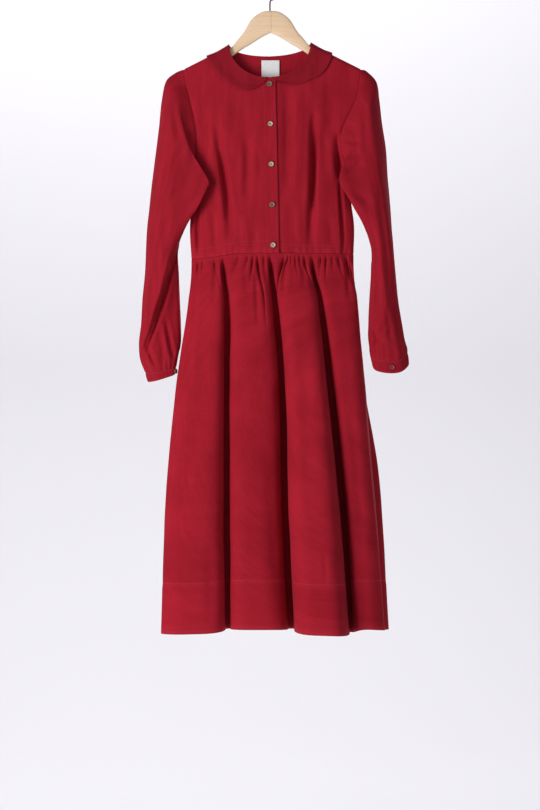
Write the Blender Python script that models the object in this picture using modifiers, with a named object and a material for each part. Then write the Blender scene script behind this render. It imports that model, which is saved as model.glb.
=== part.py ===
"""Long-sleeve linen dress on a wooden clothes hanger.

The origin is where the hanger's hook rests on its rail. X runs across the
dress, Y runs from the dress's front to its back, and Z points up. A place on the
dress is told by x and by its drop, the distance below the rail. Tables are in
millimetres, and everything worked out from them is in metres.
"""
import math

import bmesh
import bpy
import numpy as np

MM = 0.001


def table(columns, rows):
    """Turn a table in millimetres into arrays in metres, one for each named column."""
    return dict(zip(columns.split(), np.array(rows, dtype=float).T * MM))


# Cloth
WALL = 1.6 * MM
SEAM_GAP = 0.3 * MM
SAME_POINT = 0.01 * MM
SEAM_RETURN = 3.0 * MM
ARMHOLE_GAP = 0.8 * MM
UNDERARM_EASE = 0.9 * MM

# Shoulders: the cloth bends over the hanger with this radius
BEND = 9.5 * MM
BEND_RUN = BEND * math.pi / 2
SHOULDER = table("x drop", [
    (-208, 199),
    (-196, 189),
    (-82, 131),
    (82, 127),
    (200, 186),
    (212, 200),
])

# Bodice: half widths to the side folds, and half depths in front and behind
WAIST = 546 * MM
UNDERARM = 398 * MM
TORSO = table("drop left right front back", [
    (129, -240, 240, 9.5, 9.5),
    (200, -205, 205, 15, 13),
    (240, -186, 196, 19, 15),
    (308, -162, 163, 23, 17),
    (368, -157, 159, 25, 19),
    (398, -154, 159, 26, 20),
    (440, -157, 162, 26, 21),
    (488, -160, 168, 26, 22),
    (546, -157, 167, 27, 24),
])
SIDE_ROUNDING = 2.6
# Below the shoulder line: where the torso has its full depth, and where its sides start to round
DEPTH_FALL = 120 * MM
SIDE_START = 10 * MM
SIDE_FALL = 100 * MM

# Side seams and armholes, from the waist up to the shoulder
SIDES = table("drop left right", [
    (546, -157, 167),
    (488, -160, 168),
    (440, -157, 162),
    (398, -154, 159),
    (368, -151, 150),
    (338, -148, 142),
    (308, -147, 142),
    (278, -151, 153),
    (238, -160, 171),
    (198, -169, 179),
    (176, -172, 182),
])

# Neckline, as quarter ellipses in x and in the run of cloth from the shoulder line
NECK_HALF = 82 * MM
NECK_RUN_FRONT = 71 * MM
NECK_RUN_BACK = 26 * MM

# Centre front: the buttons' line leans a little, and the two fronts overlap round it
CENTRE_TOP = (-1 * MM, 208 * MM)
CENTRE_FOOT = (6 * MM, 530 * MM)
PLACKET_HALF = 12.5 * MM
PLACKET_STEP = 2.5 * MM
PLACKET_STEP_REACH = 20 * MM
PLACKET_STEP_FADE = 26 * MM

# Long soft folds of the bodice's front: a path with three points, depth and half width
BODICE_FOLDS = table("x1 drop1 x2 drop2 x3 drop3 depth width", [
    (-106, 260, -90, 380, -80, 500, 5, 11),
    (88, 250, 84, 380, 84, 560, 8, 11),
    (-46, 290, -44, 370, -46, 440, 2.5, 11),
    (34, 210, 40, 260, 38, 330, 2, 11),
    (-146, 450, -146, 500, -144, 560, 4, 7),
    (146, 430, 149, 500, 150, 560, 5, 7),
])
# How far a fold runs on past its first and last points before it is gone
FOLD_START_REACH = 20 * MM
FOLD_END_REACH = 30 * MM

# Rows of the bodice panels, as shares of the way from the waist to the shoulder line
PANEL_ROWS = np.array([
    0, 0.008, 0.12, 0.22, 0.31, 0.395, 0.5, 0.6, 0.65, 0.7, 0.78, 0.86, 0.92, 0.958, 0.975, 0.988,
    1,
])
NECK_SHARE = 0.70
SHOULDER_BLEND = 0.2
UNDERARM_ROW = 5
PANEL_COLUMNS = 15
RETURN_SHARE = 0.984

# Skirt: levels at which the folds are given
SKIRT_LEVELS = np.array([546, 640, 800, 1000, 1306]) * MM
# Pleat lines between the main lobes of the front and back: gather number, x and y at each level
FRONT_VALLEYS = [
    (0, (-157, -163, -182, -202, -212), (0, 0, 4, 6, 8)),
    (4, (-94, -86, -86, -86, -84), (-25, -20, -6, 2, 6)),
    (10, (0, 10, 24, 29, 43), (-27, -16, 2, 12, 16)),
    (17, (84, 100, 119, 140, 163), (-25, -17, -2, 6, 8)),
    (23, (167, 172, 184, 198, 216), (0, 0, 5, 9, 10)),
]
BACK_VALLEYS = [
    (0, (167, 172, 184, 198, 216), (0, 0, 5, 9, 10)),
    (6, (82, 90, 104, 112, 122), (24, 18, 16, 12, 8)),
    (12, (5, 2, -6, -10, -14), (24, 20, 14, 8, 4)),
    (17, (-78, -88, -102, -110, -118), (24, 19, 15, 11, 10)),
    (23, (-157, -163, -182, -202, -212), (0, 0, 4, 6, 8)),
]
# Lobes between them: height out of the pleats, and how far each lobe bulges over its pleats
FRONT_LOBES = [
    ((2, 22, 42, 50, 56), (0, 2, 6, 6, 8)),
    ((2, 24, 42, 50, 54), (0, 0, 0, 0, 0)),
    ((2, 28, 62, 86, 104), (0, 0, 0, 0, 0)),
    ((2, 20, 40, 46, 48), (0, 4, 7, 11, 16)),
]
BACK_LOBES = [
    ((2, 20, 42, 58, 68), (0, 2, 6, 17, 18)),
    ((2, 26, 46, 62, 74), (0, 0, 0, 0, 0)),
    ((2, 24, 44, 58, 70), (0, 0, 0, 0, 0)),
    ((2, 20, 42, 54, 64), (0, 2, 5, 5, 7)),
]
PLEAT_FLOOR = 3 * MM
PLEAT_FLOOR_SHARE = 0.12
PLEAT_FLOOR_SAG = 1.2 * MM
# How a lobe's arch is rounded: its spread along the skirt, its flat top and its full sides
LOBE_PUSH = 0.8
LOBE_SQUARENESS = 3
LOBE_FULLNESS = 0.45
# Below the waist seam: where the lobes begin, and the way over which they take over
LOBE_START = 2 * MM
LOBE_BLEND = 85 * MM
GATHERS = 23
# Where the front's gathers meet the waist seam, from side seam to side seam
FRONT_GATHERS = np.array([
    -157, -144, -136, -110, -94, -62, -40, -32, -24, -12, 0, 20, 30, 38, 50, 56, 66, 84, 102, 112,
    124, 136, 152, 167,
]) * MM
# The back's gathers are even but for this shift, which swings with the gather number
GATHER_SHIFT = 3 * MM
GATHER_SWING = 2.4
GATHER_HEIGHT = 3.2 * MM
GATHER_START = 2 * MM
GATHER_RISE = 8 * MM
GATHER_LENGTHS = np.array([34, 60, 26, 48, 90, 30, 70, 38]) * MM
# Hem: gather number and drop, front and back
FRONT_HEM = [(0, 1304), (2, 1302), (4, 1296), (7, 1294), (10, 1297), (13.5, 1301), (17, 1303),
             (20, 1294), (23, 1299)]
BACK_HEM = [(0, 1299), (3, 1302), (12, 1300), (20, 1303), (23, 1304)]
# Rows of the skirt, below the waist seam
SKIRT_ROWS = np.array([0, 3, 10, 26, 56, 105, 180, 280, 400, 530, 650, 754]) * MM
SKIRT_LENGTH = 754 * MM
# The first rows meet the side seams squarely
SQUARE_ROWS = 4

# Sleeves, one row for each section from the armhole to the cuff. A section runs from its outer
# edge over the front to the fold beside the body, under the arm and back behind. The lean says
# how many millimetres lower a section is for each metre that it comes forward.
SLEEVE_COLUMNS = "outer drop fold fold_drop fold_y under under_drop under_y front back lean"
SLEEVE_LEFT = table(SLEEVE_COLUMNS, [
    (-190, 185, -154, 366, -20, -160, 405, -3, -22, 18, 0),
    (-206, 198, -138, 380, -30, -162, 412, -8, -30, 21, 0),
    (-216, 238, -122, 396, -36, -164, 420, -11, -34, 21, 0),
    (-221, 288, -124, 406, -36, -168, 432, -11, -36, 20, 0),
    (-227, 338, -132, 426, -36, -174, 448, -11, -38, 18, 0),
    (-233, 388, -144, 450, -33, -178, 470, -10, -38, 16, 0),
    (-239, 438, -157, 476, -28, -181, 492, -8, -36, 15, 0),
    (-245, 488, -172, 504, -18, -184, 514, -3, -32, 14, 0),
    (-248, 538, -185, 538, -10, -186, 540, 5, -28, 14, 0),
    (-250, 588, -184, 588, -9, -185, 588, 6, -26, 15, 0),
    (-255, 638, -182, 638, -9, -183, 638, 6, -25, 16, 0),
    (-258, 688, -180, 688, -8, -181, 688, 6, -24, 16, 0),
    (-262, 728, -180, 726, -8, -181, 726, 6, -22, 16, 0),
    (-258, 762, -185, 756, -7, -186, 756, 6, -20, 14, 100),
    (-249, 784, -188, 772, -6, -189, 772, 5, -16, 12, 200),
])
SLEEVE_RIGHT = table(SLEEVE_COLUMNS, [
    (194, 182, 152, 362, -21, 164, 405, -3, -22, 18, 0),
    (212, 202, 142, 380, -31, 167, 412, -8, -30, 21, 0),
    (218, 238, 137, 390, -35, 169, 420, -11, -34, 21, 0),
    (223, 282, 142, 406, -36, 172, 432, -11, -36, 20, 0),
    (231, 334, 154, 428, -35, 177, 448, -11, -38, 18, 0),
    (235, 388, 167, 454, -32, 182, 470, -10, -38, 16, 0),
    (239, 438, 182, 482, -25, 190, 494, -6, -36, 15, 0),
    (243, 488, 197, 510, -14, 198, 518, 0, -32, 14, 0),
    (247, 538, 203, 538, -9, 203, 540, 5, -28, 14, 0),
    (251, 588, 203, 588, -9, 202, 588, 6, -26, 15, 0),
    (256, 638, 200, 638, -9, 199, 638, 6, -25, 16, 0),
    (264, 688, 198, 688, -8, 197, 688, 6, -24, 16, 0),
    (270, 722, 198, 720, -8, 197, 720, 6, -22, 16, 200),
    (274, 735, 199.5, 733, -8, 199.5, 733, 5.5, -21, 15, 550),
    (275, 743, 200, 741, -8, 200, 741, 5, -20, 14, 900),
])
CUFF_LEFT = table(SLEEVE_COLUMNS, [
    (-249, 784.3, -188, 772.3, -6, -189, 772.3, 5, -16, 12, 200),
    (-247, 793, -189, 779, -6, -190, 779, 5, -15.5, 12, 200),
    (-244, 802, -190, 786, -6, -191, 786, 5, -15, 12, 200),
])
CUFF_RIGHT = table(SLEEVE_COLUMNS, [
    (275, 744, 200, 742, -8, 200, 742, 5, -20, 14, 900),
    (277, 755, 203, 754, -8, 203, 754, 5, -19.5, 14, 900),
    (278, 767, 206, 767, -8, 206, 767, 5, -19, 14, 900),
])
# Where the points of a section lie along it, as shares of its girth
SECTION_STOPS = np.array([0, 0.13, 0.30, 0.45, 0.52, 0.76])
# The two front points between outer edge and fold: their shares of the way, and the first's depth
FRONT_SHARES = (0.22, 0.68)
FRONT_FULLNESS = 0.86
SECTION_SAMPLES = np.array([
    0, 0.03, 0.07, 0.12, 0.18, 0.24, 0.30, 0.36, 0.41, 0.45, 0.475, 0.5, 0.53, 0.58, 0.64, 0.70,
    0.76, 0.82, 0.88, 0.93, 0.97,
])

# Collar: the angle round the neck, and the outer edge as x and run of cloth on each side
COLLAR_WALL = 1.6 * MM
COLLAR_ROLL = 2.2 * MM
COLLAR_ANGLES = np.array([-90, -45, 0, 20, 40, 55, 68, 78, 85, 90])
COLLAR_LEFT = table("x run", [
    (0, -71), (-90, -50), (-127, 0), (-118, 25), (-104, 51), (-87, 75), (-66, 91), (-42, 96),
    (-21, 88), (-5, 74),
])
COLLAR_RIGHT = table("x run", [
    (0, -71), (89, -50), (125, 0), (119, 24), (108, 47), (92, 68), (70, 82), (43, 88),
    (22, 84), (7, 75),
])
COLLAR_STEPS = np.array([
    -90, -70, -52, -36, -22, -13, -8.5, -4, 0, 3.5, 7.5, 12, 20, 30, 40, 50, 60, 68, 75, 81, 85, 88,
])
COLLAR_STEPS_ACROSS = 4

# Buttons
BUTTON_COUNT = 5
BUTTON_RADIUS = 5.8 * MM
BUTTON_HEIGHT = 2.6 * MM
# Half profile from the middle of the face to the middle of the back: shares of radius and height
BUTTON_PROFILE = [(0, 0.65), (0.45, 0.65), (0.6, 0.86), (0.82, 1), (0.97, 0.8), (1, 0.35), (0.8, 0),
                  (0, 0)]
BUTTON_SEAT = 0.6 * MM
BUTTON_SIDES = 14
CUFF_BUTTON_RADIUS = 5.2 * MM
# Where each cuff's button lies, as a share of the cuff's girth, right then left
CUFF_BUTTON_SHARES = (0.44, 0.22)
SHARE_STEP = 0.03

# Label inside the back neck
LABEL_LEFT = -17 * MM
LABEL_RIGHT = 19 * MM
LABEL_TOP = 158 * MM
LABEL_HEIGHT = 46 * MM
LABEL_WALL = 1.0 * MM

# Hanger: half profile of the wood, and the hook's wire
HANGER_HALF_THICKNESS = 5.5 * MM
HANGER_EDGE_RADIUS = 4.5 * MM
HANGER_TILT = math.radians(0.7)
HANGER_PROFILE = table("x top foot", [
    (0, 60, 104),
    (13, 61, 110),
    (27, 67.5, 118),
    (41, 81, 127),
    (52, 100, 133),
    (66, 117, 142),
    (77, 130.5, 150),
    (88, 136.2, 156),
    (126, 155.0, 175),
    (156, 170.0, 189),
    (164, 176.0, 191),
])
WIRE_RADIUS = 1.5 * MM
HOOK_RADIUS = 20 * MM
HOOK_SEAT = 12 * MM
# The hook bends from its neck round to its tip, angles in degrees from +X
HOOK_NECK = 8 * MM
HOOK_TURN = (-80, 200)
HOOK_STEPS = 21
SHANK_CLEARANCE = 0.3 * MM

COLLECTION = "dress_on_hanger"
COLOURS = {
    "linen": ((0.33, 0.014, 0.028), 0.85, 0.0),
    "linen_shade": ((0.28, 0.012, 0.024), 0.85, 0.0),
    "shell": ((0.36, 0.24, 0.15), 0.35, 0.0),
    "label_white": ((0.85, 0.85, 0.82), 0.8, 0.0),
    "wood": ((0.78, 0.56, 0.34), 0.45, 0.0),
    "steel": ((0.32, 0.31, 0.30), 0.3, 1.0),
}


def curve_through(where, stations, values):
    """Read a smooth curve that runs through the values at the rising stations."""
    stations = np.asarray(stations, dtype=float)
    values = np.asarray(values, dtype=float)
    where = np.clip(where, stations[0], stations[-1])
    slopes = np.gradient(values, stations)
    index = np.clip(np.searchsorted(stations, where, side="right") - 1, 0, len(stations) - 2)
    span = stations[index + 1] - stations[index]
    part = (where - stations[index]) / span
    rise = values[index + 1] - values[index]
    start = slopes[index] * span
    end = slopes[index + 1] * span
    return (values[index] + start * part + (3 * rise - 2 * start - end) * part ** 2
            + (start + end - 2 * rise) * part ** 3)


def ease(part):
    """Go smoothly from 0 to 1 as the part goes from 0 to 1."""
    part = np.clip(part, 0, 1)
    return part * part * (3 - 2 * part)


def shoulder_drop(x):
    """Drop of the shoulder line, where the cloth bends over the hanger."""
    return np.interp(x, SHOULDER["x"], SHOULDER["drop"])


def run_at(x, drop):
    """Run of cloth from the shoulder line down to a drop: round the bend, then straight."""
    below = np.maximum(drop - shoulder_drop(x), 0)
    bend = BEND * np.arccos(np.clip(1 - below / BEND, -1, 1))
    return np.where(below < BEND, bend, BEND_RUN + below - BEND)


def fold_depth(x, drop):
    """Sum of the front's long folds: troughs along curved paths, fading out at their ends."""
    total = np.zeros(np.broadcast(x, drop).shape)
    for row in zip(*BODICE_FOLDS.values()):
        x1, drop1, x2, drop2, x3, drop3, deep, width = row
        path = curve_through(drop, [drop1, drop2, drop3], [x1, x2, x3])
        fade = ease((drop - drop1 + FOLD_START_REACH) / (drop2 - drop1))
        fade = fade * ease((drop3 + FOLD_END_REACH - drop) / (drop3 - drop2))
        total = total + deep * fade * np.exp(-((x - path) / width) ** 2)
    return total


def depth(x, drop, face):
    """Distance from the hanger's plane to the torso's outer cloth, for face front or back."""
    below = drop - shoulder_drop(x)
    middle = BEND + (curve_through(drop, TORSO["drop"], TORSO[face]) - BEND) * ease(below / DEPTH_FALL)
    left = curve_through(drop, TORSO["drop"], TORSO["left"])
    right = curve_through(drop, TORSO["drop"], TORSO["right"])
    across = np.clip(np.where(x < 0, x / left, x / right), 0, 1)
    rounding = 1 - np.sqrt(1 - across ** SIDE_ROUNDING)
    full = middle * (1 - ease((below - SIDE_START) / SIDE_FALL) * rounding)
    if face == "front":
        full = full - fold_depth(x, drop) * (1 - rounding) * ease(below / SIDE_FALL)
    return full


def drape(x, run, face, out=0.0):
    """Place cloth at x and a run from the shoulder line, moved outwards by a distance."""
    sign = -1 if face == "front" else 1
    angle = np.clip(run / BEND, 0, math.pi / 2)
    past = np.maximum(run - BEND_RUN, 0)
    drop = shoulder_drop(x) + BEND + past
    y = np.where(run < BEND_RUN, (BEND + out) * np.sin(angle), depth(x, drop, face) + out)
    z = (BEND + out) * np.cos(angle) - drop
    return np.stack([x, sign * y, z], axis=-1)


def centre_line(drop):
    """Where the buttons' line lies at a drop."""
    slope = (CENTRE_FOOT[0] - CENTRE_TOP[0]) / (CENTRE_FOOT[1] - CENTRE_TOP[1])
    return CENTRE_TOP[0] + (drop - CENTRE_TOP[1]) * slope


def side_path(side):
    """Runs and x of the side seam and armhole on one side, from the shoulder down."""
    x = SIDES["left"] if side < 0 else SIDES["right"]
    runs = run_at(x, SIDES["drop"])
    runs[-1] = 0
    return runs[::-1], x[::-1]


def panel_grid(side, face, edge_offset, columns):
    """Half a bodice panel, from its inner edge and neckline out to side seam and armhole."""
    rows = PANEL_ROWS
    runs, xs = side_path(side)
    waist_drop = WAIST - SEAM_GAP / 2
    side_waist = curve_through(waist_drop, TORSO["drop"], TORSO["left" if side < 0 else "right"])
    outer_run = run_at(side_waist, waist_drop) * (1 - rows)
    outer_run[-1] = SEAM_GAP / 2
    outer_x = curve_through(outer_run, runs, xs)

    neck_run = NECK_RUN_FRONT if face == "front" else NECK_RUN_BACK
    neck_drop = shoulder_drop(0) + BEND + neck_run - BEND_RUN
    low = np.minimum(rows / NECK_SHARE, 1)
    inner_drop = waist_drop + (neck_drop - waist_drop) * low
    inner_x = side * edge_offset + np.where(face == "front", centre_line(inner_drop), 0.0)
    start = math.acos(np.clip(side * inner_x[rows >= NECK_SHARE][0] / NECK_HALF, -1, 1))
    angle = start * (1 - np.clip((rows - NECK_SHARE) / (1 - NECK_SHARE), 0, 1))
    on_neck = rows >= NECK_SHARE
    inner_x = np.where(on_neck, side * NECK_HALF * np.cos(angle), inner_x)
    inner_run = np.where(on_neck, neck_run * np.sin(angle), run_at(inner_x, inner_drop))
    inner_run[-1] = SEAM_GAP / 2

    across = np.append(np.linspace(0, 1, columns - 1), RETURN_SHARE)
    across = np.sort(across)[None, :]
    x = inner_x[:, None] * (1 - across) + outer_x[:, None] * across
    run_straight = inner_run[:, None] * (1 - across) + outer_run[:, None] * across
    inner_level = shoulder_drop(inner_x) + BEND + inner_run - BEND_RUN
    outer_level = shoulder_drop(outer_x) + BEND + outer_run - BEND_RUN
    level = inner_level[:, None] * (1 - across) + outer_level[:, None] * across
    run_level = run_at(x, level)
    top_share = ease((rows - NECK_SHARE) / SHOULDER_BLEND)[:, None]
    run = run_level * (1 - top_share) + run_straight * top_share
    return x, run


def square_seams(points, face):
    """Turn the panel's outer columns and top row so that they meet their seams squarely."""
    sign = -1 if face == "front" else 1
    rows = slice(0, UNDERARM_ROW + 1)
    points[rows, -2, 0] = points[rows, -1, 0]
    points[rows, -1, 1] = sign * SEAM_GAP / 2
    points[rows, -2, 1] = sign * SEAM_RETURN
    points[UNDERARM_ROW, -2:, 1] += sign * UNDERARM_EASE
    points[-2, :, 2] = points[-1, :, 2]
    return points


def grid_faces(rows, columns, start=0, flip=False, closed=False):
    """Four-sided faces between the points of a grid, closed into a tube if asked."""
    index = np.arange(rows * columns).reshape(rows, columns) + start
    if closed:
        index = np.concatenate([index, index[:, :1]], axis=1)
    quads = np.stack([index[:-1, :-1], index[:-1, 1:], index[1:, 1:], index[1:, :-1]], axis=-1)
    quads = quads.reshape(-1, 4)
    return (quads[:, ::-1] if flip else quads).tolist()


def cloth_solid(name, vertices, faces, colour, wall):
    """A solid of cloth whose outer side is the given surface."""
    mesh = bpy.data.meshes.new(name)
    mesh.from_pydata(vertices, [], faces)
    work = bmesh.new()
    work.from_mesh(mesh)
    bmesh.ops.remove_doubles(work, verts=work.verts, dist=SAME_POINT)
    work.to_mesh(mesh)
    work.free()
    mesh.shade_smooth()
    item = place(name, mesh, colour)
    solid = item.modifiers.new("Wall", "SOLIDIFY")
    solid.thickness = wall
    solid.offset = -1
    return item


def grid_solid(name, points, colour, wall, flip=False, closed=False):
    """A solid of cloth whose outer side is a grid of points."""
    faces = grid_faces(*points.shape[:2], flip=flip, closed=closed)
    return cloth_solid(name, points.reshape(-1, 3).tolist(), faces, colour, wall)


def material(name):
    """The named colour as a material, made once."""
    found = bpy.data.materials.get(name)
    if found:
        return found
    colour, rough, metal = COLOURS[name]
    made = bpy.data.materials.new(name)
    made.use_nodes = True
    shader = made.node_tree.nodes["Principled BSDF"]
    shader.inputs["Base Color"].default_value = (*colour, 1)
    shader.inputs["Roughness"].default_value = rough
    shader.inputs["Metallic"].default_value = metal
    return made


def place(name, data, colour):
    """Put data into a new object in the dress's collection."""
    group = bpy.data.collections.get(COLLECTION)
    if group is None:
        group = bpy.data.collections.new(COLLECTION)
        bpy.context.scene.collection.children.link(group)
    item = bpy.data.objects.new(name, data)
    data.materials.clear()
    data.materials.append(material(colour))
    group.objects.link(item)
    return item


def build_bodice():
    """Two fronts that overlap at the buttons, and one back."""
    x, run = panel_grid(-1, "front", -PLACKET_HALF, PANEL_COLUMNS)
    right_front = square_seams(drape(x, run, "front"), "front")
    grid_solid("bodice_front_right", right_front, "linen", WALL, flip=True)

    x, run = panel_grid(1, "front", -PLACKET_HALF, PANEL_COLUMNS)
    left_front = drape(x, run, "front")
    edge = centre_line(-left_front[..., 2]) + PLACKET_HALF
    past_edge = left_front[..., 0] - edge - PLACKET_STEP_REACH
    step = PLACKET_STEP * (1 - ease(past_edge / PLACKET_STEP_FADE))
    left_front[..., 1] += step
    left_front = square_seams(left_front, "front")
    grid_solid("bodice_front_left", left_front, "linen", WALL)

    halves = []
    for side in (-1, 1):
        x, run = panel_grid(side, "back", 0.0, PANEL_COLUMNS - 2)
        halves.append(square_seams(drape(x, run, "back"), "back"))
    cloth_solid("bodice_back", *join_halves(halves), "linen", WALL)
    return {"right": (right_front, halves[0]), "left": (left_front, halves[1])}


def join_halves(halves):
    """Vertices and faces of the left and right halves, which share their centre line."""
    vertices = []
    faces = []
    for side, points in enumerate(halves):
        faces += grid_faces(*points.shape[:2], start=len(vertices), flip=side == 1)
        vertices += points.reshape(-1, 3).tolist()
    return vertices, faces


def gather_x(numbers, face):
    """Where each gather meets the waist seam."""
    if face == "front":
        return np.interp(numbers, np.arange(GATHERS + 1), FRONT_GATHERS)
    even = FRONT_GATHERS[-1] + (FRONT_GATHERS[0] - FRONT_GATHERS[-1]) * numbers / GATHERS
    uneven = GATHER_SHIFT * np.sin(GATHER_SWING * numbers) * ease(numbers) * ease(GATHERS - numbers)
    return even + uneven


def at_levels(drop, values):
    """Read a value given at the skirt's levels, at any drop."""
    return curve_through(drop, SKIRT_LEVELS, np.array(values) * MM)


def lobe_points(numbers, drop, face):
    """The skirt's section at a drop: rounded lobes between narrow pleats."""
    valleys = FRONT_VALLEYS if face == "front" else BACK_VALLEYS
    lobes = FRONT_LOBES if face == "front" else BACK_LOBES
    sign = -1 if face == "front" else 1
    x = np.zeros(numbers.shape)
    y = np.zeros(numbers.shape)
    for lobe, (heights, spreads) in enumerate(lobes):
        first, first_x, first_y = valleys[lobe]
        last, last_x, last_y = valleys[lobe + 1]
        inside = (numbers >= first) & (numbers <= last)
        start = np.stack([at_levels(drop, first_x), at_levels(drop, first_y)])
        end = np.stack([at_levels(drop, last_x), at_levels(drop, last_y)])
        length = np.abs(end[0] - start[0])
        along_axis = (end - start) / length
        height = at_levels(drop, heights)
        spread = at_levels(drop, spreads)
        start_side = lobe == 0
        end_side = lobe == len(lobes) - 1
        share = PLEAT_FLOOR_SHARE
        arch = np.clip((numbers - first - share) / (last - first - 2 * share), 0, 1)
        start_floor = np.clip((numbers - first) / share, 0, 1)
        end_floor = np.clip((last - numbers) / share, 0, 1)
        start_width = 0.0 if start_side else PLEAT_FLOOR
        end_width = 0.0 if end_side else PLEAT_FLOOR
        turn = np.cos(math.pi * arch)
        push = np.sign(turn) * np.abs(turn) ** LOBE_PUSH
        middle = length - start_width - end_width
        along = start_width * start_floor + middle * (1 - push) / 2 + end_width * (1 - end_floor)
        start_rise = SEAM_RETURN * start_floor if start_side else PLEAT_FLOOR_SAG * (start_floor - 1)
        end_rise = SEAM_RETURN * end_floor if end_side else PLEAT_FLOOR_SAG * (end_floor - 1)
        foot = np.where(arch < 0.5, start_rise, end_rise)
        bulge = (1 - np.abs(turn) ** LOBE_SQUARENESS) ** LOBE_FULLNESS
        rise = foot + (height - foot) * bulge
        shoulder = 4 * np.abs(turn) * bulge * (1 - bulge)
        starts_here = np.where(turn > 0, float(start_side), float(end_side))
        along = along - np.sign(turn) * spread * shoulder * starts_here
        x = np.where(inside, start[0] + along_axis[0] * along, x)
        y = np.where(inside, start[1] + along_axis[1] * along + sign * rise, y)
    return x, y


def skirt_points(numbers, fallen, face):
    """Skirt cloth at gather numbers across and distances below the waist seam."""
    sign = -1 if face == "front" else 1
    hem = FRONT_HEM if face == "front" else BACK_HEM
    hem_drop = curve_through(numbers, [row[0] for row in hem], [row[1] * MM for row in hem])
    low = fallen / SKIRT_LENGTH
    top = WAIST + SEAM_GAP / 2
    drop = top + fallen + (hem_drop - top - SKIRT_LENGTH) * low ** 3
    waist_x = gather_x(numbers, face)
    waist_y = sign * depth(waist_x, WAIST + 0 * waist_x, face)
    lobe_x, lobe_y = lobe_points(numbers, drop, face)
    share = ease((fallen - LOBE_START) / LOBE_BLEND)
    x = waist_x * (1 - share) + lobe_x * share
    y = waist_y * (1 - share) + lobe_y * share
    lengths = np.interp(numbers, np.arange(GATHERS + 1), np.resize(GATHER_LENGTHS, GATHERS + 1))
    swell = ease((fallen - GATHER_START) / GATHER_RISE) * np.exp(-(fallen / lengths) ** 2)
    swell = swell * ease(numbers) * ease(GATHERS - numbers)
    y = y - sign * GATHER_HEIGHT * swell * np.cos(2 * math.pi * numbers)
    return np.stack([x, y, -drop], axis=-1)


def build_skirt():
    """Front and back of the gathered skirt."""
    for face in ("front", "back"):
        valleys = FRONT_VALLEYS if face == "front" else BACK_VALLEYS
        numbers = list(np.arange(0, GATHERS + 0.25, 0.5))
        for number, _, _ in valleys:
            numbers += [number - PLEAT_FLOOR_SHARE, number + PLEAT_FLOOR_SHARE]
        numbers = np.unique([number for number in numbers if 0 <= number <= GATHERS])
        grid_numbers, fallen = np.meshgrid(numbers, SKIRT_ROWS)
        points = skirt_points(grid_numbers, fallen, face)
        sign = -1 if face == "front" else 1
        for column, shift in ((0, 1), (-1, -2)):
            points[:, column, 1] += sign * SEAM_GAP / 2
            points[:SQUARE_ROWS, shift, 0] = points[:SQUARE_ROWS, column, 0]
            points[:SQUARE_ROWS, shift, 1] = points[:SQUARE_ROWS, column, 1] + sign * SEAM_RETURN
        grid_solid("skirt_" + face, points, "linen", WALL, flip=True)


def section(rows, samples):
    """Loop through one sleeve section's six points, at shares of its girth."""
    outer = np.stack([rows["outer"], rows["outer"] * 0, -rows["drop"]], axis=-1)
    fold = np.stack([rows["fold"], rows["fold_y"], -rows["fold_drop"]], axis=-1)
    under = np.stack([rows["under"], rows["under_y"], -rows["under_drop"]], axis=-1)
    front_outer = outer + (fold - outer) * FRONT_SHARES[0]
    front_outer[:, 1] = rows["front"] * FRONT_FULLNESS
    front_inner = outer + (fold - outer) * FRONT_SHARES[1]
    front_inner[:, 1] = rows["front"]
    back = (outer + under) / 2
    back[:, 1] = rows["back"]
    stops = np.stack([outer, front_outer, front_inner, fold, under, back], axis=1)
    shares = np.concatenate([SECTION_STOPS - 1, SECTION_STOPS, SECTION_STOPS + 1])
    looped = np.concatenate([stops, stops, stops], axis=1)
    loops = np.empty((len(outer), len(samples), 3))
    for row in range(len(outer)):
        for axis in range(3):
            loops[row, :, axis] = curve_through(samples, shares, looped[row, :, axis])
    loops[..., 2] += rows["lean"][:, None] * loops[..., 1]
    return loops


def armhole_loop(side, samples, front, back):
    """The panels' armhole edges as one loop, down the front to the underarm and up behind."""
    shares = (1 - PANEL_ROWS[UNDERARM_ROW:]) / (1 - PANEL_ROWS[UNDERARM_ROW]) / 2
    stations = np.concatenate([shares[::-1], 1 - shares[1:]])
    edges = np.concatenate([front[:UNDERARM_ROW - 1:-1, -1], back[UNDERARM_ROW + 1:, -1]])
    loop = np.stack([np.interp(samples, stations, edges[:, axis]) for axis in range(3)], axis=-1)
    loop[:, 0] += side * ARMHOLE_GAP
    return loop


def build_sleeves(panels):
    """Sleeves, set into the panels' armholes, with their cuffs."""
    for side, name, rows, cuff in ((-1, "right", SLEEVE_LEFT, CUFF_LEFT),
                                   (1, "left", SLEEVE_RIGHT, CUFF_RIGHT)):
        loops = section(rows, SECTION_SAMPLES)
        first = armhole_loop(side, SECTION_SAMPLES, *panels[name])
        points = np.concatenate([first[None], loops])
        grid_solid("sleeve_" + name, points, "linen", WALL, flip=side < 0, closed=True)
        grid_solid("cuff_" + name, section(cuff, SECTION_SAMPLES), "linen", WALL,
                    flip=side < 0, closed=True)


def collar_points(angles, across, side):
    """Collar cloth round the neck: angle -90 behind, 0 at the shoulder and 90 in front."""
    shape = COLLAR_LEFT if side < 0 else COLLAR_RIGHT
    radians = np.radians(angles)
    inner_x = side * NECK_HALF * np.cos(radians)
    inner_run = np.where(angles < 0, NECK_RUN_BACK, NECK_RUN_FRONT) * np.sin(radians)
    outer_x = curve_through(angles, COLLAR_ANGLES, shape["x"])
    outer_run = curve_through(angles, COLLAR_ANGLES, shape["run"])
    x = inner_x * (1 - across) + outer_x * across
    run = inner_run * (1 - across) + outer_run * across
    out = SEAM_GAP + COLLAR_WALL + COLLAR_ROLL * (1 - across) ** 3
    front = drape(x, np.abs(run), "front", out)
    back = drape(x, np.abs(run), "back", out)
    return np.where((run >= 0)[..., None], front, back)


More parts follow.
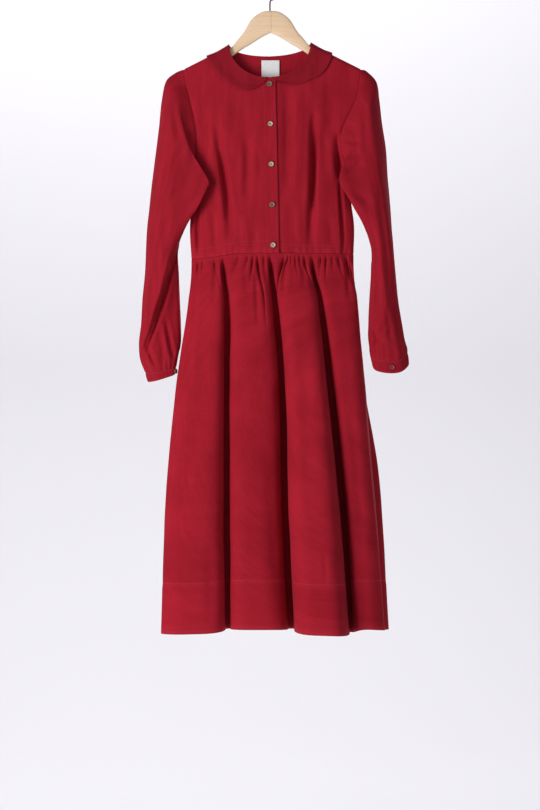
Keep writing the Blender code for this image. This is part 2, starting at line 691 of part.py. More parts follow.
def build_collar():
    """One collar that runs round the back of the neck to two rounded front ends."""
    across = np.linspace(0, 1, COLLAR_STEPS_ACROSS + 1)
    grid_across, grid_angles = np.meshgrid(across, COLLAR_STEPS)
    left = collar_points(grid_angles, grid_across, -1)[::-1]
    right = collar_points(grid_angles, grid_across, 1)[1:]
    points = np.concatenate([left, right])
    grid_solid("collar", points, "linen_shade", COLLAR_WALL)


def turned_button(name, radius):
    """A turned button that faces +Z: a shallow well, a rounded rim and a flat back."""
    profile = [(radius * reach, 0.0, BUTTON_HEIGHT * height) for reach, height in BUTTON_PROFILE]
    edges = [(step, step + 1) for step in range(len(profile) - 1)]
    mesh = bpy.data.meshes.new(name)
    mesh.from_pydata(profile, edges, [])
    item = place(name, mesh, "shell")
    turn = item.modifiers.new("Turn", "SCREW")
    turn.angle = 2 * math.pi
    turn.steps = BUTTON_SIDES
    turn.render_steps = BUTTON_SIDES
    turn.use_merge_vertices = True
    turn.merge_threshold = SAME_POINT
    return item


def build_buttons():
    """Front buttons down the centre line, and one on each cuff."""
    spacing = (CENTRE_FOOT[1] - CENTRE_TOP[1]) / (BUTTON_COUNT - 1)
    for number in range(BUTTON_COUNT):
        name = "button_front_" + str(number + 1)
        drop = CENTRE_TOP[1] + spacing * number
        x = centre_line(drop)
        around = drop + BUTTON_RADIUS * np.array([-1, 0, 1])
        above, middle, below = depth(np.full(3, x), around, "front")
        button = turned_button(name, BUTTON_RADIUS)
        button.location = (x, -middle - BUTTON_SEAT, -drop)
        lean = math.atan2(above - below, 2 * BUTTON_RADIUS)
        button.rotation_euler = (math.pi / 2 + lean, 0, 0)
    for name, cuff, share in (("cuff_button_right", CUFF_LEFT, CUFF_BUTTON_SHARES[0]),
                              ("cuff_button_left", CUFF_RIGHT, CUFF_BUTTON_SHARES[1])):
        band = section(cuff, SECTION_SAMPLES)[1]
        nearby = np.array([share - SHARE_STEP, share, share + SHARE_STEP])
        before, middle, after = section(cuff, nearby)[1]
        tangent = after - before
        outward = np.array([tangent[1], -tangent[0]]) / math.hypot(tangent[0], tangent[1])
        outward *= np.sign(np.dot(outward, (middle - band.mean(axis=0))[:2]))
        button = turned_button(name, CUFF_BUTTON_RADIUS)
        button.location = middle + np.append(outward, 0) * BUTTON_SEAT
        button.rotation_euler = (math.pi / 2, 0, math.atan2(outward[0], -outward[1]))


def build_label():
    """A bare white label on the inside of the back, below the neckline."""
    across = np.linspace(LABEL_LEFT, LABEL_RIGHT, 5)
    down = np.linspace(LABEL_TOP, LABEL_TOP + LABEL_HEIGHT, 4)
    x, drop = np.meshgrid(across, down)
    inside = depth(x, drop, "back") - WALL - SEAM_GAP
    points = np.stack([x, inside, -drop], axis=-1)
    grid_solid("label", points, "label_white", LABEL_WALL)


def build_hanger():
    """The wooden hanger, with a hole for the hook's shank, and the hook's wire."""
    x = HANGER_PROFILE["x"]
    top = np.stack([x, -HANGER_PROFILE["top"]], axis=-1)
    foot = np.stack([x, -HANGER_PROFILE["foot"]], axis=-1)
    right = np.concatenate([top, foot[::-1]])
    left = right[::-1] * (-1, 1)
    outline = np.concatenate([right, left[1:-1]])
    flat = bpy.data.curves.new("hanger_outline", "CURVE")
    flat.dimensions = "2D"
    flat.fill_mode = "BOTH"
    flat.extrude = HANGER_HALF_THICKNESS - HANGER_EDGE_RADIUS
    flat.bevel_depth = HANGER_EDGE_RADIUS
    flat.bevel_resolution = 1
    flat.offset = -HANGER_EDGE_RADIUS
    spline = flat.splines.new("POLY")
    spline.points.add(len(outline) - 1)
    for point, (across, up) in zip(spline.points, outline):
        point.co = (across, up, 0, 1)
    spline.use_cyclic_u = True
    board = place("hanger_outline", flat, "wood")
    board.rotation_euler = (math.pi / 2, -HANGER_TILT, 0)
    bpy.context.view_layer.update()
    evaluated = board.evaluated_get(bpy.context.evaluated_depsgraph_get())
    mesh = bpy.data.meshes.new_from_object(evaluated)
    work = bmesh.new()
    work.from_mesh(mesh)
    bmesh.ops.remove_doubles(work, verts=work.verts, dist=SAME_POINT)
    bmesh.ops.recalc_face_normals(work, faces=work.faces)
    work.to_mesh(mesh)
    work.free()
    wood = place("hanger", mesh, "wood")
    wood.matrix_world = board.matrix_world
    bpy.data.objects.remove(board)

    peak = HANGER_PROFILE["top"][0]
    bpy.ops.mesh.primitive_cylinder_add(vertices=16, radius=WIRE_RADIUS + SHANK_CLEARANCE,
                                        depth=2 * HOOK_SEAT, location=(0, 0, -peak))
    cutter = bpy.context.object
    cutter.name = "shank_hole"
    cutter.hide_render = True
    cutter.display_type = "WIRE"
    cutters = bpy.data.collections.new("cutters")
    bpy.context.scene.collection.children.link(cutters)
    for group in list(cutter.users_collection):
        group.objects.unlink(cutter)
    cutters.objects.link(cutter)
    cut = wood.modifiers.new("Shank hole", "BOOLEAN")
    cut.operation = "DIFFERENCE"
    cut.object = cutter

    centre = WIRE_RADIUS - HOOK_RADIUS
    route = [(0, -peak - HOOK_SEAT + SHANK_CLEARANCE), (0, centre - HOOK_RADIUS - HOOK_NECK)]
    for angle in np.radians(np.linspace(*HOOK_TURN, HOOK_STEPS)):
        route.append((HOOK_RADIUS * math.cos(angle), centre + HOOK_RADIUS * math.sin(angle)))
    wire = bpy.data.curves.new("hanger_hook", "CURVE")
    wire.dimensions = "3D"
    wire.bevel_depth = WIRE_RADIUS
    wire.bevel_resolution = 2
    wire.use_fill_caps = True
    line = wire.splines.new("POLY")
    line.points.add(len(route) - 1)
    for point, (across, up) in zip(line.points, route):
        point.co = (across, 0, up, 1)
    place("hanger_hook", wire, "steel")


def main():
    """Clear the scene and build the dress and its hanger."""
    for item in list(bpy.data.objects):
        bpy.data.objects.remove(item)
    build_hanger()
    panels = build_bodice()
    build_skirt()
    build_sleeves(panels)
    build_collar()
    build_label()
    build_buttons()


main()
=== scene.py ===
"""Long-sleeve linen dress on a wooden clothes hanger, finished over its CAD frame.

Lengths are in metres. X runs across the dress, Y runs from its front to its back, and Z points
up, with the origin where the hook rests on its rail. A place on the dress is told by x and by
its drop, the distance below the rail. Tables are in millimetres.
"""

import math

import bmesh
import bpy
import numpy as np
from bpy.props import FloatProperty, FloatVectorProperty, IntProperty, PointerProperty
from bpy.types import Operator, Panel, PropertyGroup
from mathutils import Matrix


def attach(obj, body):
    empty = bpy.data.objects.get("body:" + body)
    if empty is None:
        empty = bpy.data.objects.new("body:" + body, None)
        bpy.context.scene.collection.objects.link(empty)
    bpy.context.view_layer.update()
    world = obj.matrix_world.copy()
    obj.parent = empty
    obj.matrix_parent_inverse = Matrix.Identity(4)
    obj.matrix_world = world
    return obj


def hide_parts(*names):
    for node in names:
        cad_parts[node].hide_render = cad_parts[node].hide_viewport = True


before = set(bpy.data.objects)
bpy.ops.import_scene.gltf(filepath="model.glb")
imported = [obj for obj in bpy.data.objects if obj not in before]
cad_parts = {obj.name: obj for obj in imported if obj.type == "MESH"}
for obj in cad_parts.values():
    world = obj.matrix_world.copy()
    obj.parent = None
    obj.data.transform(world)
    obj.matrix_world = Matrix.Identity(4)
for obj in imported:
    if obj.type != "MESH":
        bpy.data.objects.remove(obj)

bl_info = {
    "name": "Linen dress on a hanger",
    "version": (1, 0, 0),
    "blender": (4, 5, 0),
    "location": "3D View > Sidebar > Dress",
    "description": "Builds a long-sleeve linen dress and its wooden hanger over their CAD frame",
    "category": "Add Mesh",
}

MM = 0.001


def table(columns, rows):
    """Turn a table in millimetres into arrays in metres, one for each named column."""
    return dict(zip(columns.split(), np.array(rows, dtype=float).T * MM))


# Form: the same named sizes as the solids
SEAM_GAP = 0.3 * MM
WELD = 0.01 * MM
SEAM_RETURN = 3.0 * MM
BEND = 9.5 * MM
BEND_RUN = BEND * math.pi / 2
SHOULDER = table("x drop", [
    (-208, 199), (-196, 189), (-82, 131), (82, 127), (200, 186), (212, 200),
])
WAIST = 546 * MM
WAIST_SAG = 10 * MM
WAIST_SAG_REACH = 160 * MM
TORSO = table("drop left right front back", [
    (129, -240, 240, 9.5, 9.5),
    (200, -205, 205, 15, 13),
    (240, -186, 196, 19, 15),
    (308, -162, 163, 23, 17),
    (368, -157, 159, 25, 19),
    (398, -154, 159, 26, 20),
    (440, -157, 162, 26, 21),
    (488, -160, 168, 26, 22),
    (546, -157, 167, 27, 24),
])
SIDE_ROUNDING = 2.6
SIDES = table("drop left right", [
    (546, -157, 167), (488, -160, 168), (440, -157, 162), (398, -154, 159), (368, -151, 150),
    (338, -148, 142), (308, -147, 142), (278, -151, 153), (238, -160, 171), (198, -169, 179),
    (176, -172, 182),
])
NECK_HALF = 82 * MM
NECK_RUN_FRONT = 71 * MM
NECK_RUN_BACK = 26 * MM
CENTRE_TOP = (-1 * MM, 208 * MM)
CENTRE_FOOT = (6 * MM, 530 * MM)
PLACKET_HALF = 12.5 * MM
PLACKET_STEP = 2.5 * MM
PLACKET_STEP_REACH = 20 * MM
PLACKET_STEP_FADE = 26 * MM
NECK_SHARE = 0.70
UNDERARM_SHARE = 0.395
BODICE_FOLDS = table("x1 drop1 x2 drop2 x3 drop3 depth width", [
    (-106, 260, -90, 380, -80, 500, 5, 11),
    (88, 250, 84, 380, 84, 560, 8, 11),
    (-46, 290, -44, 370, -46, 440, 2.5, 11),
    (34, 210, 40, 260, 38, 330, 2, 11),
    (-146, 450, -146, 500, -144, 560, 4, 7),
    (146, 430, 149, 500, 150, 560, 5, 7),
])

SKIRT_LENGTH = 754 * MM
HEM_BAND = 100 * MM
SKIRT_LEVELS = np.array([546, 640, 800, 1000, 1306]) * MM
FRONT_VALLEYS = [
    (0, (-157, -163, -182, -202, -212), (0, 0, 4, 6, 8)),
    (4, (-94, -86, -86, -86, -84), (-25, -20, -6, 2, 6)),
    (10, (0, 10, 24, 29, 43), (-27, -16, 2, 12, 16)),
    (17, (84, 100, 119, 140, 163), (-25, -17, -2, 6, 8)),
    (23, (167, 172, 184, 198, 216), (0, 0, 5, 9, 10)),
]
BACK_VALLEYS = [
    (0, (167, 172, 184, 198, 216), (0, 0, 5, 9, 10)),
    (6, (82, 90, 104, 112, 122), (24, 18, 16, 12, 8)),
    (12, (5, 2, -6, -10, -14), (24, 20, 14, 8, 4)),
    (17, (-78, -88, -102, -110, -118), (24, 19, 15, 11, 10)),
    (23, (-157, -163, -182, -202, -212), (0, 0, 4, 6, 8)),
]
FRONT_LOBES = [
    ((2, 22, 42, 50, 56), (0, 2, 6, 6, 8)),
    ((2, 24, 42, 50, 54), (0, 0, 0, 0, 0)),
    ((2, 28, 62, 86, 104), (0, 0, 0, 0, 0)),
    ((2, 20, 40, 46, 48), (0, 4, 7, 11, 16)),
]
BACK_LOBES = [
    ((2, 20, 42, 58, 68), (0, 2, 6, 17, 18)),
    ((2, 26, 46, 62, 74), (0, 0, 0, 0, 0)),
    ((2, 24, 44, 58, 70), (0, 0, 0, 0, 0)),
    ((2, 20, 42, 54, 64), (0, 2, 5, 5, 7)),
]
PLEAT_FLOOR = 3 * MM
PLEAT_FLOOR_SHARE = 0.12
PLEAT_FLOOR_SAG = 1.2 * MM
LOBE_BLEND = 85 * MM
LOBE_START = 2 * MM
GATHERS = 23
FRONT_GATHERS = np.array([
    -157, -144, -136, -110, -94, -62, -44, -34, -25, -12, 0, 28, 36, 42, 50, 58, 68, 84, 102, 112,
    124, 136, 152, 167,
]) * MM
# How far each slit between the front's gathers runs down, and how deep it is
FRONT_SLITS = table("length depth", [
    (20, 1), (36, 7), (18, 5), (28, 6), (110, 9), (24, 6), (20, 5), (46, 8), (84, 12), (20, 5),
    (96, 10), (66, 12), (22, 5), (18, 5), (26, 5), (20, 5), (40, 7), (110, 10), (22, 6), (32, 7),
    (20, 6), (28, 7), (46, 8), (20, 1),
])
# Deep pleats that start at the waist: gather number, extra depth, half width in gathers
DEEP_PLEATS = ((4, 11 * MM, 0.22), (10, 12 * MM, 0.26), (17, 12 * MM, 0.26), (22.4, 7 * MM, 0.3))
# Where they begin below the waist, how soon they are full, and where they pass into the lobes
DEEP_PLEAT_RUN = (7 * MM, 34 * MM, 20 * MM)
# How high the cloth swells between the slits, and how deep the slits are, in their table's depths
GATHER_CROWN = 0.6
SLIT_DEPTH = 1.25
# How far the pleats' walls draw back at each of the skirt's levels
PLEAT_WIDENING = ((4, (0, 2.5, 3.0, 3.0, 2.5)), (10, (0, 3.0, 4.0, 4.5, 4.5)),
                  (17, (0, 3.0, 6.0, 4.5, 0.5)))
PLEAT_REACH = 0.8
FRONT_HEM = [(0, 1304), (2, 1302), (4, 1296), (7, 1294), (10, 1297), (13.5, 1301), (17, 1303),
             (20, 1294), (23, 1299)]
BACK_HEM = [(0, 1299), (3, 1302), (8, 1300), (12, 1293), (16, 1300), (20, 1303), (23, 1304)]

SLEEVE_COLUMNS = "outer drop fold fold_drop fold_y under under_drop under_y front back lean"
SLEEVES = {
    "right": table(SLEEVE_COLUMNS, [
        (-190, 185, -154, 372, -20, -160, 405, -3, -22, 18, 0),
        (-206, 198, -140, 394, -30, -162, 416, -8, -30, 21, 0),
        (-216, 238, -126, 414, -36, -164, 430, -11, -34, 21, 0),
        (-221, 288, -128, 422, -36, -168, 440, -11, -36, 20, 0),
        (-227, 338, -136, 438, -36, -174, 454, -11, -38, 18, 0),
        (-233, 388, -146, 458, -33, -178, 472, -10, -38, 16, 0),
        (-239, 438, -157, 476, -28, -181, 492, -8, -36, 15, 0),
        (-245, 488, -172, 504, -18, -184, 514, -3, -32, 14, 0),
        (-248, 538, -185, 538, -10, -186, 540, 5, -28, 14, 0),
        (-250, 588, -184, 588, -9, -185, 588, 6, -26, 15, 0),
        (-255, 638, -182, 638, -9, -183, 638, 6, -25, 16, 0),
        (-258, 688, -180, 688, -8, -181, 688, 6, -24, 16, 0),
        (-262, 728, -180, 726, -8, -181, 726, 6, -22, 16, 0),
        (-258, 762, -185, 756, -7, -186, 756, 6, -20, 14, 100),
        (-249, 784, -188, 772, -6, -189, 772, 5, -16, 12, 200),
    ]),
    "left": table(SLEEVE_COLUMNS, [
        (194, 182, 154, 368, -21, 164, 405, -3, -22, 18, 0),
        (212, 202, 144, 392, -31, 167, 416, -8, -30, 21, 0),
        (218, 238, 140, 408, -35, 169, 430, -11, -34, 21, 0),
        (223, 282, 145, 420, -36, 172, 440, -11, -36, 20, 0),
        (231, 334, 156, 438, -35, 177, 454, -11, -38, 18, 0),
        (235, 388, 168, 460, -32, 182, 472, -10, -38, 16, 0),
        (239, 438, 182, 482, -25, 190, 494, -6, -36, 15, 0),
        (243, 488, 197, 510, -14, 198, 518, 0, -32, 14, 0),
        (247, 538, 203, 538, -9, 203, 540, 5, -28, 14, 0),
        (251, 588, 203, 588, -9, 202, 588, 6, -26, 15, 0),
        (256, 638, 200, 638, -9, 199, 638, 6, -25, 16, 0),
        (264, 688, 198, 688, -8, 197, 688, 6, -24, 16, 0),
        (270, 722, 198, 720, -8, 197, 720, 6, -22, 16, 200),
        (274, 735, 199.5, 733, -8, 199.5, 733, 5.5, -21, 15, 550),
        (275, 743, 200, 741, -8, 200, 741, 5, -20, 14, 900),
    ]),
}
CUFFS = {
    "right": table(SLEEVE_COLUMNS, [
        (-249, 784.3, -188, 772.3, -6, -189, 772.3, 5, -16, 12, 200),
        (-247, 793, -189, 779, -6, -190, 779, 5, -15.5, 12, 200),
        (-244, 802, -190, 786, -6, -191, 786, 5, -15, 12, 200),
    ]),
    "left": table(SLEEVE_COLUMNS, [
        (275, 744, 200, 742, -8, 200, 742, 5, -20, 14, 900),
        (277, 755, 203, 754, -8, 203, 754, 5, -19.5, 14, 900),
        (278, 767, 206, 767, -8, 206, 767, 5, -19, 14, 900),
    ]),
}
SIDE_NAMES = {-1: "right", 1: "left"}
SECTION_STOPS = np.array([0, 0.13, 0.30, 0.45, 0.52, 0.76])

COLLAR_ROLL = 2.2 * MM
COLLAR_LIFT = 2.4 * MM
COLLAR_FLAT = 0.55
COLLAR_WAVE = 0.35 * MM
COLLAR_ANGLES = np.array([-90, -45, 0, 20, 40, 55, 68, 78, 85, 90])
COLLAR = {
    -1: table("x run", [
        (0, -71), (-90, -50), (-127, 0), (-118, 25), (-104, 51), (-87, 75), (-66, 91), (-42, 96),
        (-21, 88), (-5, 74),
    ]),
    1: table("x run", [
        (0, -71), (89, -50), (125, 0), (119, 24), (108, 47), (92, 68), (70, 82), (43, 88),
        (22, 84), (7, 75),
    ]),
}

BUTTON_RADIUS = 5.8 * MM
CUFF_BUTTON_RADIUS = 5.2 * MM
BUTTON_HEIGHT = 2.6 * MM
BUTTON_SEAT = 0.6 * MM
BUTTON_PROFILE = [(0, 0.6), (0.3, 0.6), (0.46, 0.63), (0.56, 0.78), (0.66, 0.93), (0.78, 1),
                  (0.9, 0.94), (0.98, 0.75), (1, 0.5), (0.97, 0.2), (0.85, 0), (0, 0)]
THREAD_REACH = 2.1 * MM
THREAD_SHIFT = 0.35 * MM
THREAD_RISE = 0.55 * MM
THREAD_RADIUS = 0.42 * MM
CUFF_BUTTON_SHARES = {"right": 0.44, "left": 0.22}

LABEL = {"left": -17 * MM, "right": 19 * MM, "top": 158 * MM, "height": 46 * MM}

HANGER_TILT = math.radians(0.7)
HANGER_PROFILE = table("x top foot", [
    (0, 60, 104), (13, 61, 110), (27, 67.5, 118), (41, 81, 127), (52, 100, 133), (66, 117, 142),
    (77, 130.5, 150), (88, 136.2, 156), (126, 155.0, 175), (156, 170.0, 189), (164, 176.0, 191),
])
HANGER_HALF = 164 * MM
HANGER_THICKNESS = 5.5 * MM
HANGER_END = 5 * MM
HANGER_ROUNDING = 0.55
WIRE_RADIUS = 1.5 * MM
HOOK_RADIUS = 20 * MM
HOOK_NECK = 8 * MM
HOOK_TURN = (-80, 200)

# Creases listed one by one: each a soft trough along a bent path, in front or behind
TROUGH_COLUMNS = "x1 drop1 x2 drop2 x3 drop3 depth width"
TROUGH_STEPS = 8
# The low ridge beside each trough: its share of the depth, and its place in trough widths
TROUGH_RIDGE = 0.22
TROUGH_RIDGE_PLACE = 1.9
BODICE_TROUGHS = {
    "front": table(TROUGH_COLUMNS, [
        (-108, 286, -90, 400, -76, 520, 7.5, 7),
        (-98, 340, -84, 420, -84, 476, 5.5, 4.5),
        (88, 262, 86, 370, 82, 530, 8.5, 6),
        (89, 300, 87, 380, 83, 462, 6.0, 4.5),
        (76, 440, 70, 500, 78, 552, 3.0, 13),
        (-46, 316, -43, 370, -46, 434, 3.0, 7),
        (32, 210, 40, 320, 26, 456, 4.0, 9),
        (-113, 452, -111, 500, -107, 552, 3.6, 7),
        (141, 306, 137, 350, 145, 400, 12, 9),
        (148, 326, 143, 352, 148, 376, 4.0, 5),
        (-66, 470, -60, 505, -56, 540, 2.2, 8),
        (-130, 250, -126, 320, -132, 380, 2.2, 11),
        (118, 200, 124, 260, 122, 320, 2.4, 12),
        (-70, 230, -66, 290, -64, 340, 1.2, 12),
        (120, 470, 126, 510, 122, 545, 2.4, 8),
        (46, 500, 52, 522, 60, 545, 1.4, 7),
        (-30, 500, -34, 525, -36, 545, 1.2, 6),
        (-147, 440, -145, 500, -143, 552, 6.5, 3.6),
        (139, 400, 144, 480, 147, 550, 7.0, 3.6),
    ]),
    "back": table(TROUGH_COLUMNS, [
        (-96, 260, -84, 380, -78, 520, 4.0, 12),
        (92, 280, 86, 400, 78, 540, 4.6, 12),
        (-30, 380, -24, 460, -20, 545, 2.4, 11),
        (28, 400, 34, 480, 30, 545, 2.2, 10),
        (-136, 400, -134, 480, -138, 545, 2.4, 9),
        (138, 420, 140, 480, 136, 545, 2.6, 9),
        (-60, 190, -10, 204, 50, 192, 1.2, 12),
        (110, 230, 122, 300, 120, 360, 1.6, 12),
        (-118, 240, -124, 300, -122, 360, 1.6, 12),
    ]),
}
SKIRT_TROUGHS = {
    "front": table(TROUGH_COLUMNS, [
        (32, 550, 28, 590, 24, 650, 2.8, 5),
        (-30, 556, -26, 620, -24, 690, 2.8, 5),
        (-150, 556, -162, 678, -168, 820, 5.0, 8),
        (-48, 560, -48, 595, -46, 630, 1.4, 6),
        (68, 556, 68, 590, 66, 616, 1.8, 5),
        (154, 556, 156, 590, 158, 640, 2.2, 5),
        (-108, 560, -110, 600, -112, 650, 2.2, 5),
        (0, 930, 10, 1090, 22, 1300, 4.5, 16),
        (-150, 860, -176, 1000, -190, 1150, 4.5, 22),
        (108, 1140, 109, 1166, 110, 1198, 1.4, 5),
        (62, 700, 70, 900, 74, 1100, 2.0, 16),
        (-60, 700, -58, 860, -54, 1020, 1.8, 14),
        (-120, 1120, -116, 1210, -118, 1300, 2.4, 12),
        (160, 860, 176, 1000, 188, 1130, 2.0, 10),
    ]),
    "back": table(TROUGH_COLUMNS, [
        (40, 556, 46, 620, 44, 700, 3.0, 6),
        (-40, 556, -48, 610, -50, 680, 3.0, 6),
        (120, 556, 130, 640, 134, 740, 2.6, 7),
        (-120, 556, -132, 630, -140, 720, 2.6, 7),
        (50, 800, 56, 980, 60, 1180, 3.0, 18),
        (-60, 820, -64, 1000, -70, 1200, 3.0, 18),
        (150, 860, 160, 1000, 170, 1150, 2.6, 14),
        (-150, 900, -160, 1050, -168, 1200, 2.6, 14),
    ]),
}
SLEEVE_TROUGHS = {
    "right": table(TROUGH_COLUMNS, [
        (-187, 540, -204, 598, -219, 665, 14, 5),
        (-214, 630, -227, 684, -254, 750, 14, 5),
        (-247, 726, -240, 744, -228, 772, 7, 4.2),
        (-207, 676, -204, 710, -192, 756, 11, 4.2),
        (-222, 690, -214, 730, -212, 770, 3.0, 6),
        (-194, 226, -188, 278, -180, 330, 5.0, 8),
        (-168, 330, -184, 352, -198, 380, 2.4, 7),
        (-150, 400, -176, 424, -204, 436, 2.6, 9),
        (-232, 440, -236, 520, -226, 600, 3.0, 9),
        (-190, 620, -194, 660, -196, 710, 3.0, 6),
        (-206, 420, -214, 480, -212, 540, 2.4, 10),
        (-240, 640, -246, 690, -248, 730, 2.6, 6),
    ]),
    "left": table(TROUGH_COLUMNS, [
        (214, 396, 236, 560, 250, 730, 7.5, 9),
        (196, 480, 216, 600, 224, 690, 4.4, 9),
        (152, 322, 164, 326, 180, 322, 4.0, 5),
        (146, 358, 160, 353, 178, 344, 4.4, 6),
        (150, 384, 166, 380, 186, 366, 3.0, 6),
        (206, 730, 214, 722, 226, 714, 4.2, 4.5),
        (204, 690, 210, 704, 216, 724, 4.6, 5),
        (212, 706, 222, 700, 232, 690, 3.0, 4.5),
        (184, 240, 190, 300, 192, 350, 3.0, 8),
        (160, 420, 184, 440, 206, 446, 3.0, 9),
        (250, 640, 256, 690, 262, 724, 3.2, 6),
        (232, 650, 236, 690, 240, 722, 3.0, 5),
        (208, 560, 210, 620, 210, 680, 3.4, 7),
    ]),
}
# The edge of the right sleeve's front layer, where it lies over the cloth behind it
SLEEVE_OVERLAP = table("x drop", [
    (-184, 518), (-186, 534), (-192, 562), (-201, 578), (-208, 598), (-218, 638), (-228, 678),
    (-248, 738), (-256, 770),
])
OVERLAP_DEPTH = 20 * MM
# The back's cloth swells past the left side seam, this far and at this gather number
SIDE_BULGE = 9 * MM
SIDE_BULGE_PLACE = 0.45
SIDE_BULGE_TOP = 800 * MM
SIDE_BULGE_BLEND = 180 * MM
# The edge of the skirt's last lobe, over the strip that runs on to the left side seam
SKIRT_OVERLAP = table("x drop", [
    (180, 760), (186, 800), (192, 878), (206, 1038), (222, 1198), (230, 1306),
])
SKIRT_OVERLAP_DEPTH = 15 * MM
SKIRT_OVERLAP_TOP = 790 * MM
SKIRT_OVERLAP_BLEND = 90 * MM
OVERLAP_EDGE = 4 * MM

# Waves of hung cloth: distance from crest to crest in metres, and height in millimetres
WAVES = ((0.055, 0.16), (0.083, 0.22), (0.12, 0.34), (0.19, 0.4), (0.037, 0.08))

# How far from a seam the creases start: lengths, then shares of a panel and of a gather
SHOULDER_CALM = 50 * MM
WAIST_CALM = 30 * MM
ARMHOLE_CALM = 30 * MM
CUFF_CALM = 12 * MM
PANEL_SIDE_CALM = 0.05
SKIRT_SIDE_CALM = 0.8
# Puckers over the waist seam: waves in a metre, their sway, and the sway's own waves
PUCKER_WAVES = (390, 2.2, 83)

# Relief at the seams and edges
WAIST_DITCH = 0.3 * MM
ARMHOLE_DITCH = 1.0 * MM
PUCKER_HEIGHT = 0.9 * MM
PUCKER_REACH = 11 * MM
HEM_RISE = 0.45 * MM
HEM_DITCH = 0.6 * MM
SLEEVE_DITCH = 1.1 * MM
TUCK_HEIGHT = 0.7 * MM
TUCK_REACH = 22 * MM
TUCK_COUNT = 15
LAYER_SHARE = 0.72
CUFF_CROWN = 0.5 * MM
CUFF_WALL = 1.5 * MM
COLLAR_WALL = 1.4 * MM
CLOTH_WALL = 1.6 * MM
LABEL_WALL = 0.5 * MM
LABEL_INSET = 1.9 * MM
WAIST_STITCH_RISE = 17 * MM
PLACKET_STITCH_INSET = 11.5 * MM

# Flat cuts in metres: width, length and, where it tapers, area
SKIRT_CUTS = {"front": (0.79, 0.76, 0.5), "back": (0.80, 0.76, 0.5)}
SLEEVE_GIRTH = 0.3
CUFF_GIRTH = 0.14

# Steps of the finished surfaces
PANEL_ROWS = np.concatenate([np.linspace(0, 0.93, 130), np.linspace(0.935, 1, 22)])
PANEL_ACROSS = 1 - (1 - np.linspace(0, 1, 84)) ** 1.35
SKIRT_FALLEN = np.concatenate([np.linspace(0, 0.02, 9), np.linspace(0.024, 0.12, 26),
                               np.linspace(0.128, 0.754, 84)])
SKIRT_NUMBERS = np.linspace(0, GATHERS, GATHERS * 16 + 1)
SLEEVE_SAMPLES = np.linspace(0, 1, 176, endpoint=False)
SLEEVE_STEPS = 190
CUFF_STEPS = 24
COLLAR_STEPS = np.concatenate([np.linspace(-90, -16, 40), np.linspace(-14, 12, 30),
                               np.linspace(13.5, 88, 60)])
COLLAR_ACROSS = np.linspace(0, 1, 26)

# A stitch: share of its length, share of its radius, and rise out of the cloth in radii
STITCH_RINGS = ((-1, 0, -0.6), (-0.62, 0.62, 0.133), (0, 1, 0.35), (0.62, 0.62, 0.133),
                (1, 0, -0.6))
STITCH_SIDES = 5
STITCH_RADIUS = 0.3 * MM
HEM_STITCH_RADIUS = 0.34 * MM
STITCH_FILL = 0.68

# Each face of the dress: the sign of its Y and the way that it looks
FACES = {"front": (-1, np.array([0.0, -1.0, 0.1])), "back": (1, np.array([0.0, 1.0, 0.1]))}

# Near black colour of the buttons' thread, with painted shade: the thread also stands for the
# shaded holes under it
THREAD_AND_HOLE_SHADE = (0.022, 0.012, 0.01)
DYED_SHELL = ((0.46, 0.10, 0.10), (0.22, 0.014, 0.026))
BUTTON_TONES = (0.15, 0.95, 0.9, 0.2, 1.0)
CUFF_BUTTON_TONES = {"right": 0.1, "left": 0.3}

# The sweep behind and under the dress, in metres
WALL_Y = 9.0
FLOOR_Z = -2.6
SWEEP_RADIUS = 2.0
SWEEP_FRONT = -9.0
SWEEP_TOP = 8.0
SWEEP_HALF = 14.0
# Each light: its setting, size, place, target and colour
LIGHTS = (
    ("key", (1.0, 1.8), (-1.7, -1.8, -0.68), (0, 0, -0.7), (1, 0.99, 0.98)),
    ("fill", (2.0, 2.4), (2.4, -2.8, -0.4), (0, 0, -0.8), (0.97, 0.98, 1.0)),
    ("wall", (7.0, 3.0), (-0.8, 4.8, 4.9), (-0.4, 9.0, -2.6), (1, 1, 1)),
    ("back", (1.6, 2.0), (2.6, 3.0, 0.4), (0, 0, -0.7), (1, 1, 1)),
)
SKY_COLOUR = (0.93, 0.93, 0.97, 1)
SKY_STRENGTH = 0.28


def curve_through(where, stations, values):
    """Smooth curve through values at rising stations: a cubic whose slopes are the neighbours'."""
    stations = np.asarray(stations, dtype=float)
    values = np.asarray(values, dtype=float)
    where = np.clip(where, stations[0], stations[-1])
    slopes = np.gradient(values, stations, axis=0)
    index = np.clip(np.searchsorted(stations, where, side="right") - 1, 0, len(stations) - 2)
    spread = (...,) + (None,) * (values.ndim - 1)
    span = (stations[index + 1] - stations[index])[spread]
    part = (where - stations[index])[spread] / span
    rise = values[index + 1] - values[index]
    start = slopes[index] * span
    end = slopes[index + 1] * span
    return (values[index] + start * part + (3 * rise - 2 * start - end) * part ** 2
            + (start + end - 2 * rise) * part ** 3)


def ease(part):
    """Go smoothly from 0 to 1 as the part goes from 0 to 1."""
    part = np.clip(part, 0, 1)
    return part * part * (3 - 2 * part)


def bell(away, width):
    """Fall off smoothly from 1 as the distance grows past the width."""
    return np.exp(-(away / width) ** 2)


def fading(away, width):
    """Fall off from 1 at an edge."""
    return np.exp(-away / width)


def rounded(value, power):
    """Raise a value from -1 to 1 to a power and keep its sign."""
    return np.sign(value) * np.abs(value) ** power


def outwards(loops):
    """Directions from the middle of each loop to its points."""
    return loops - loops.mean(axis=1, keepdims=True)


def along_path(path):
    """Length along a path at each of its points."""
    return np.concatenate([[0], np.cumsum(np.linalg.norm(np.diff(path, axis=0), axis=1))])


def shoulder_drop(x):
    """Drop of the shoulder line, where the cloth bends over the hanger."""
    return np.interp(x, SHOULDER["x"], SHOULDER["drop"])


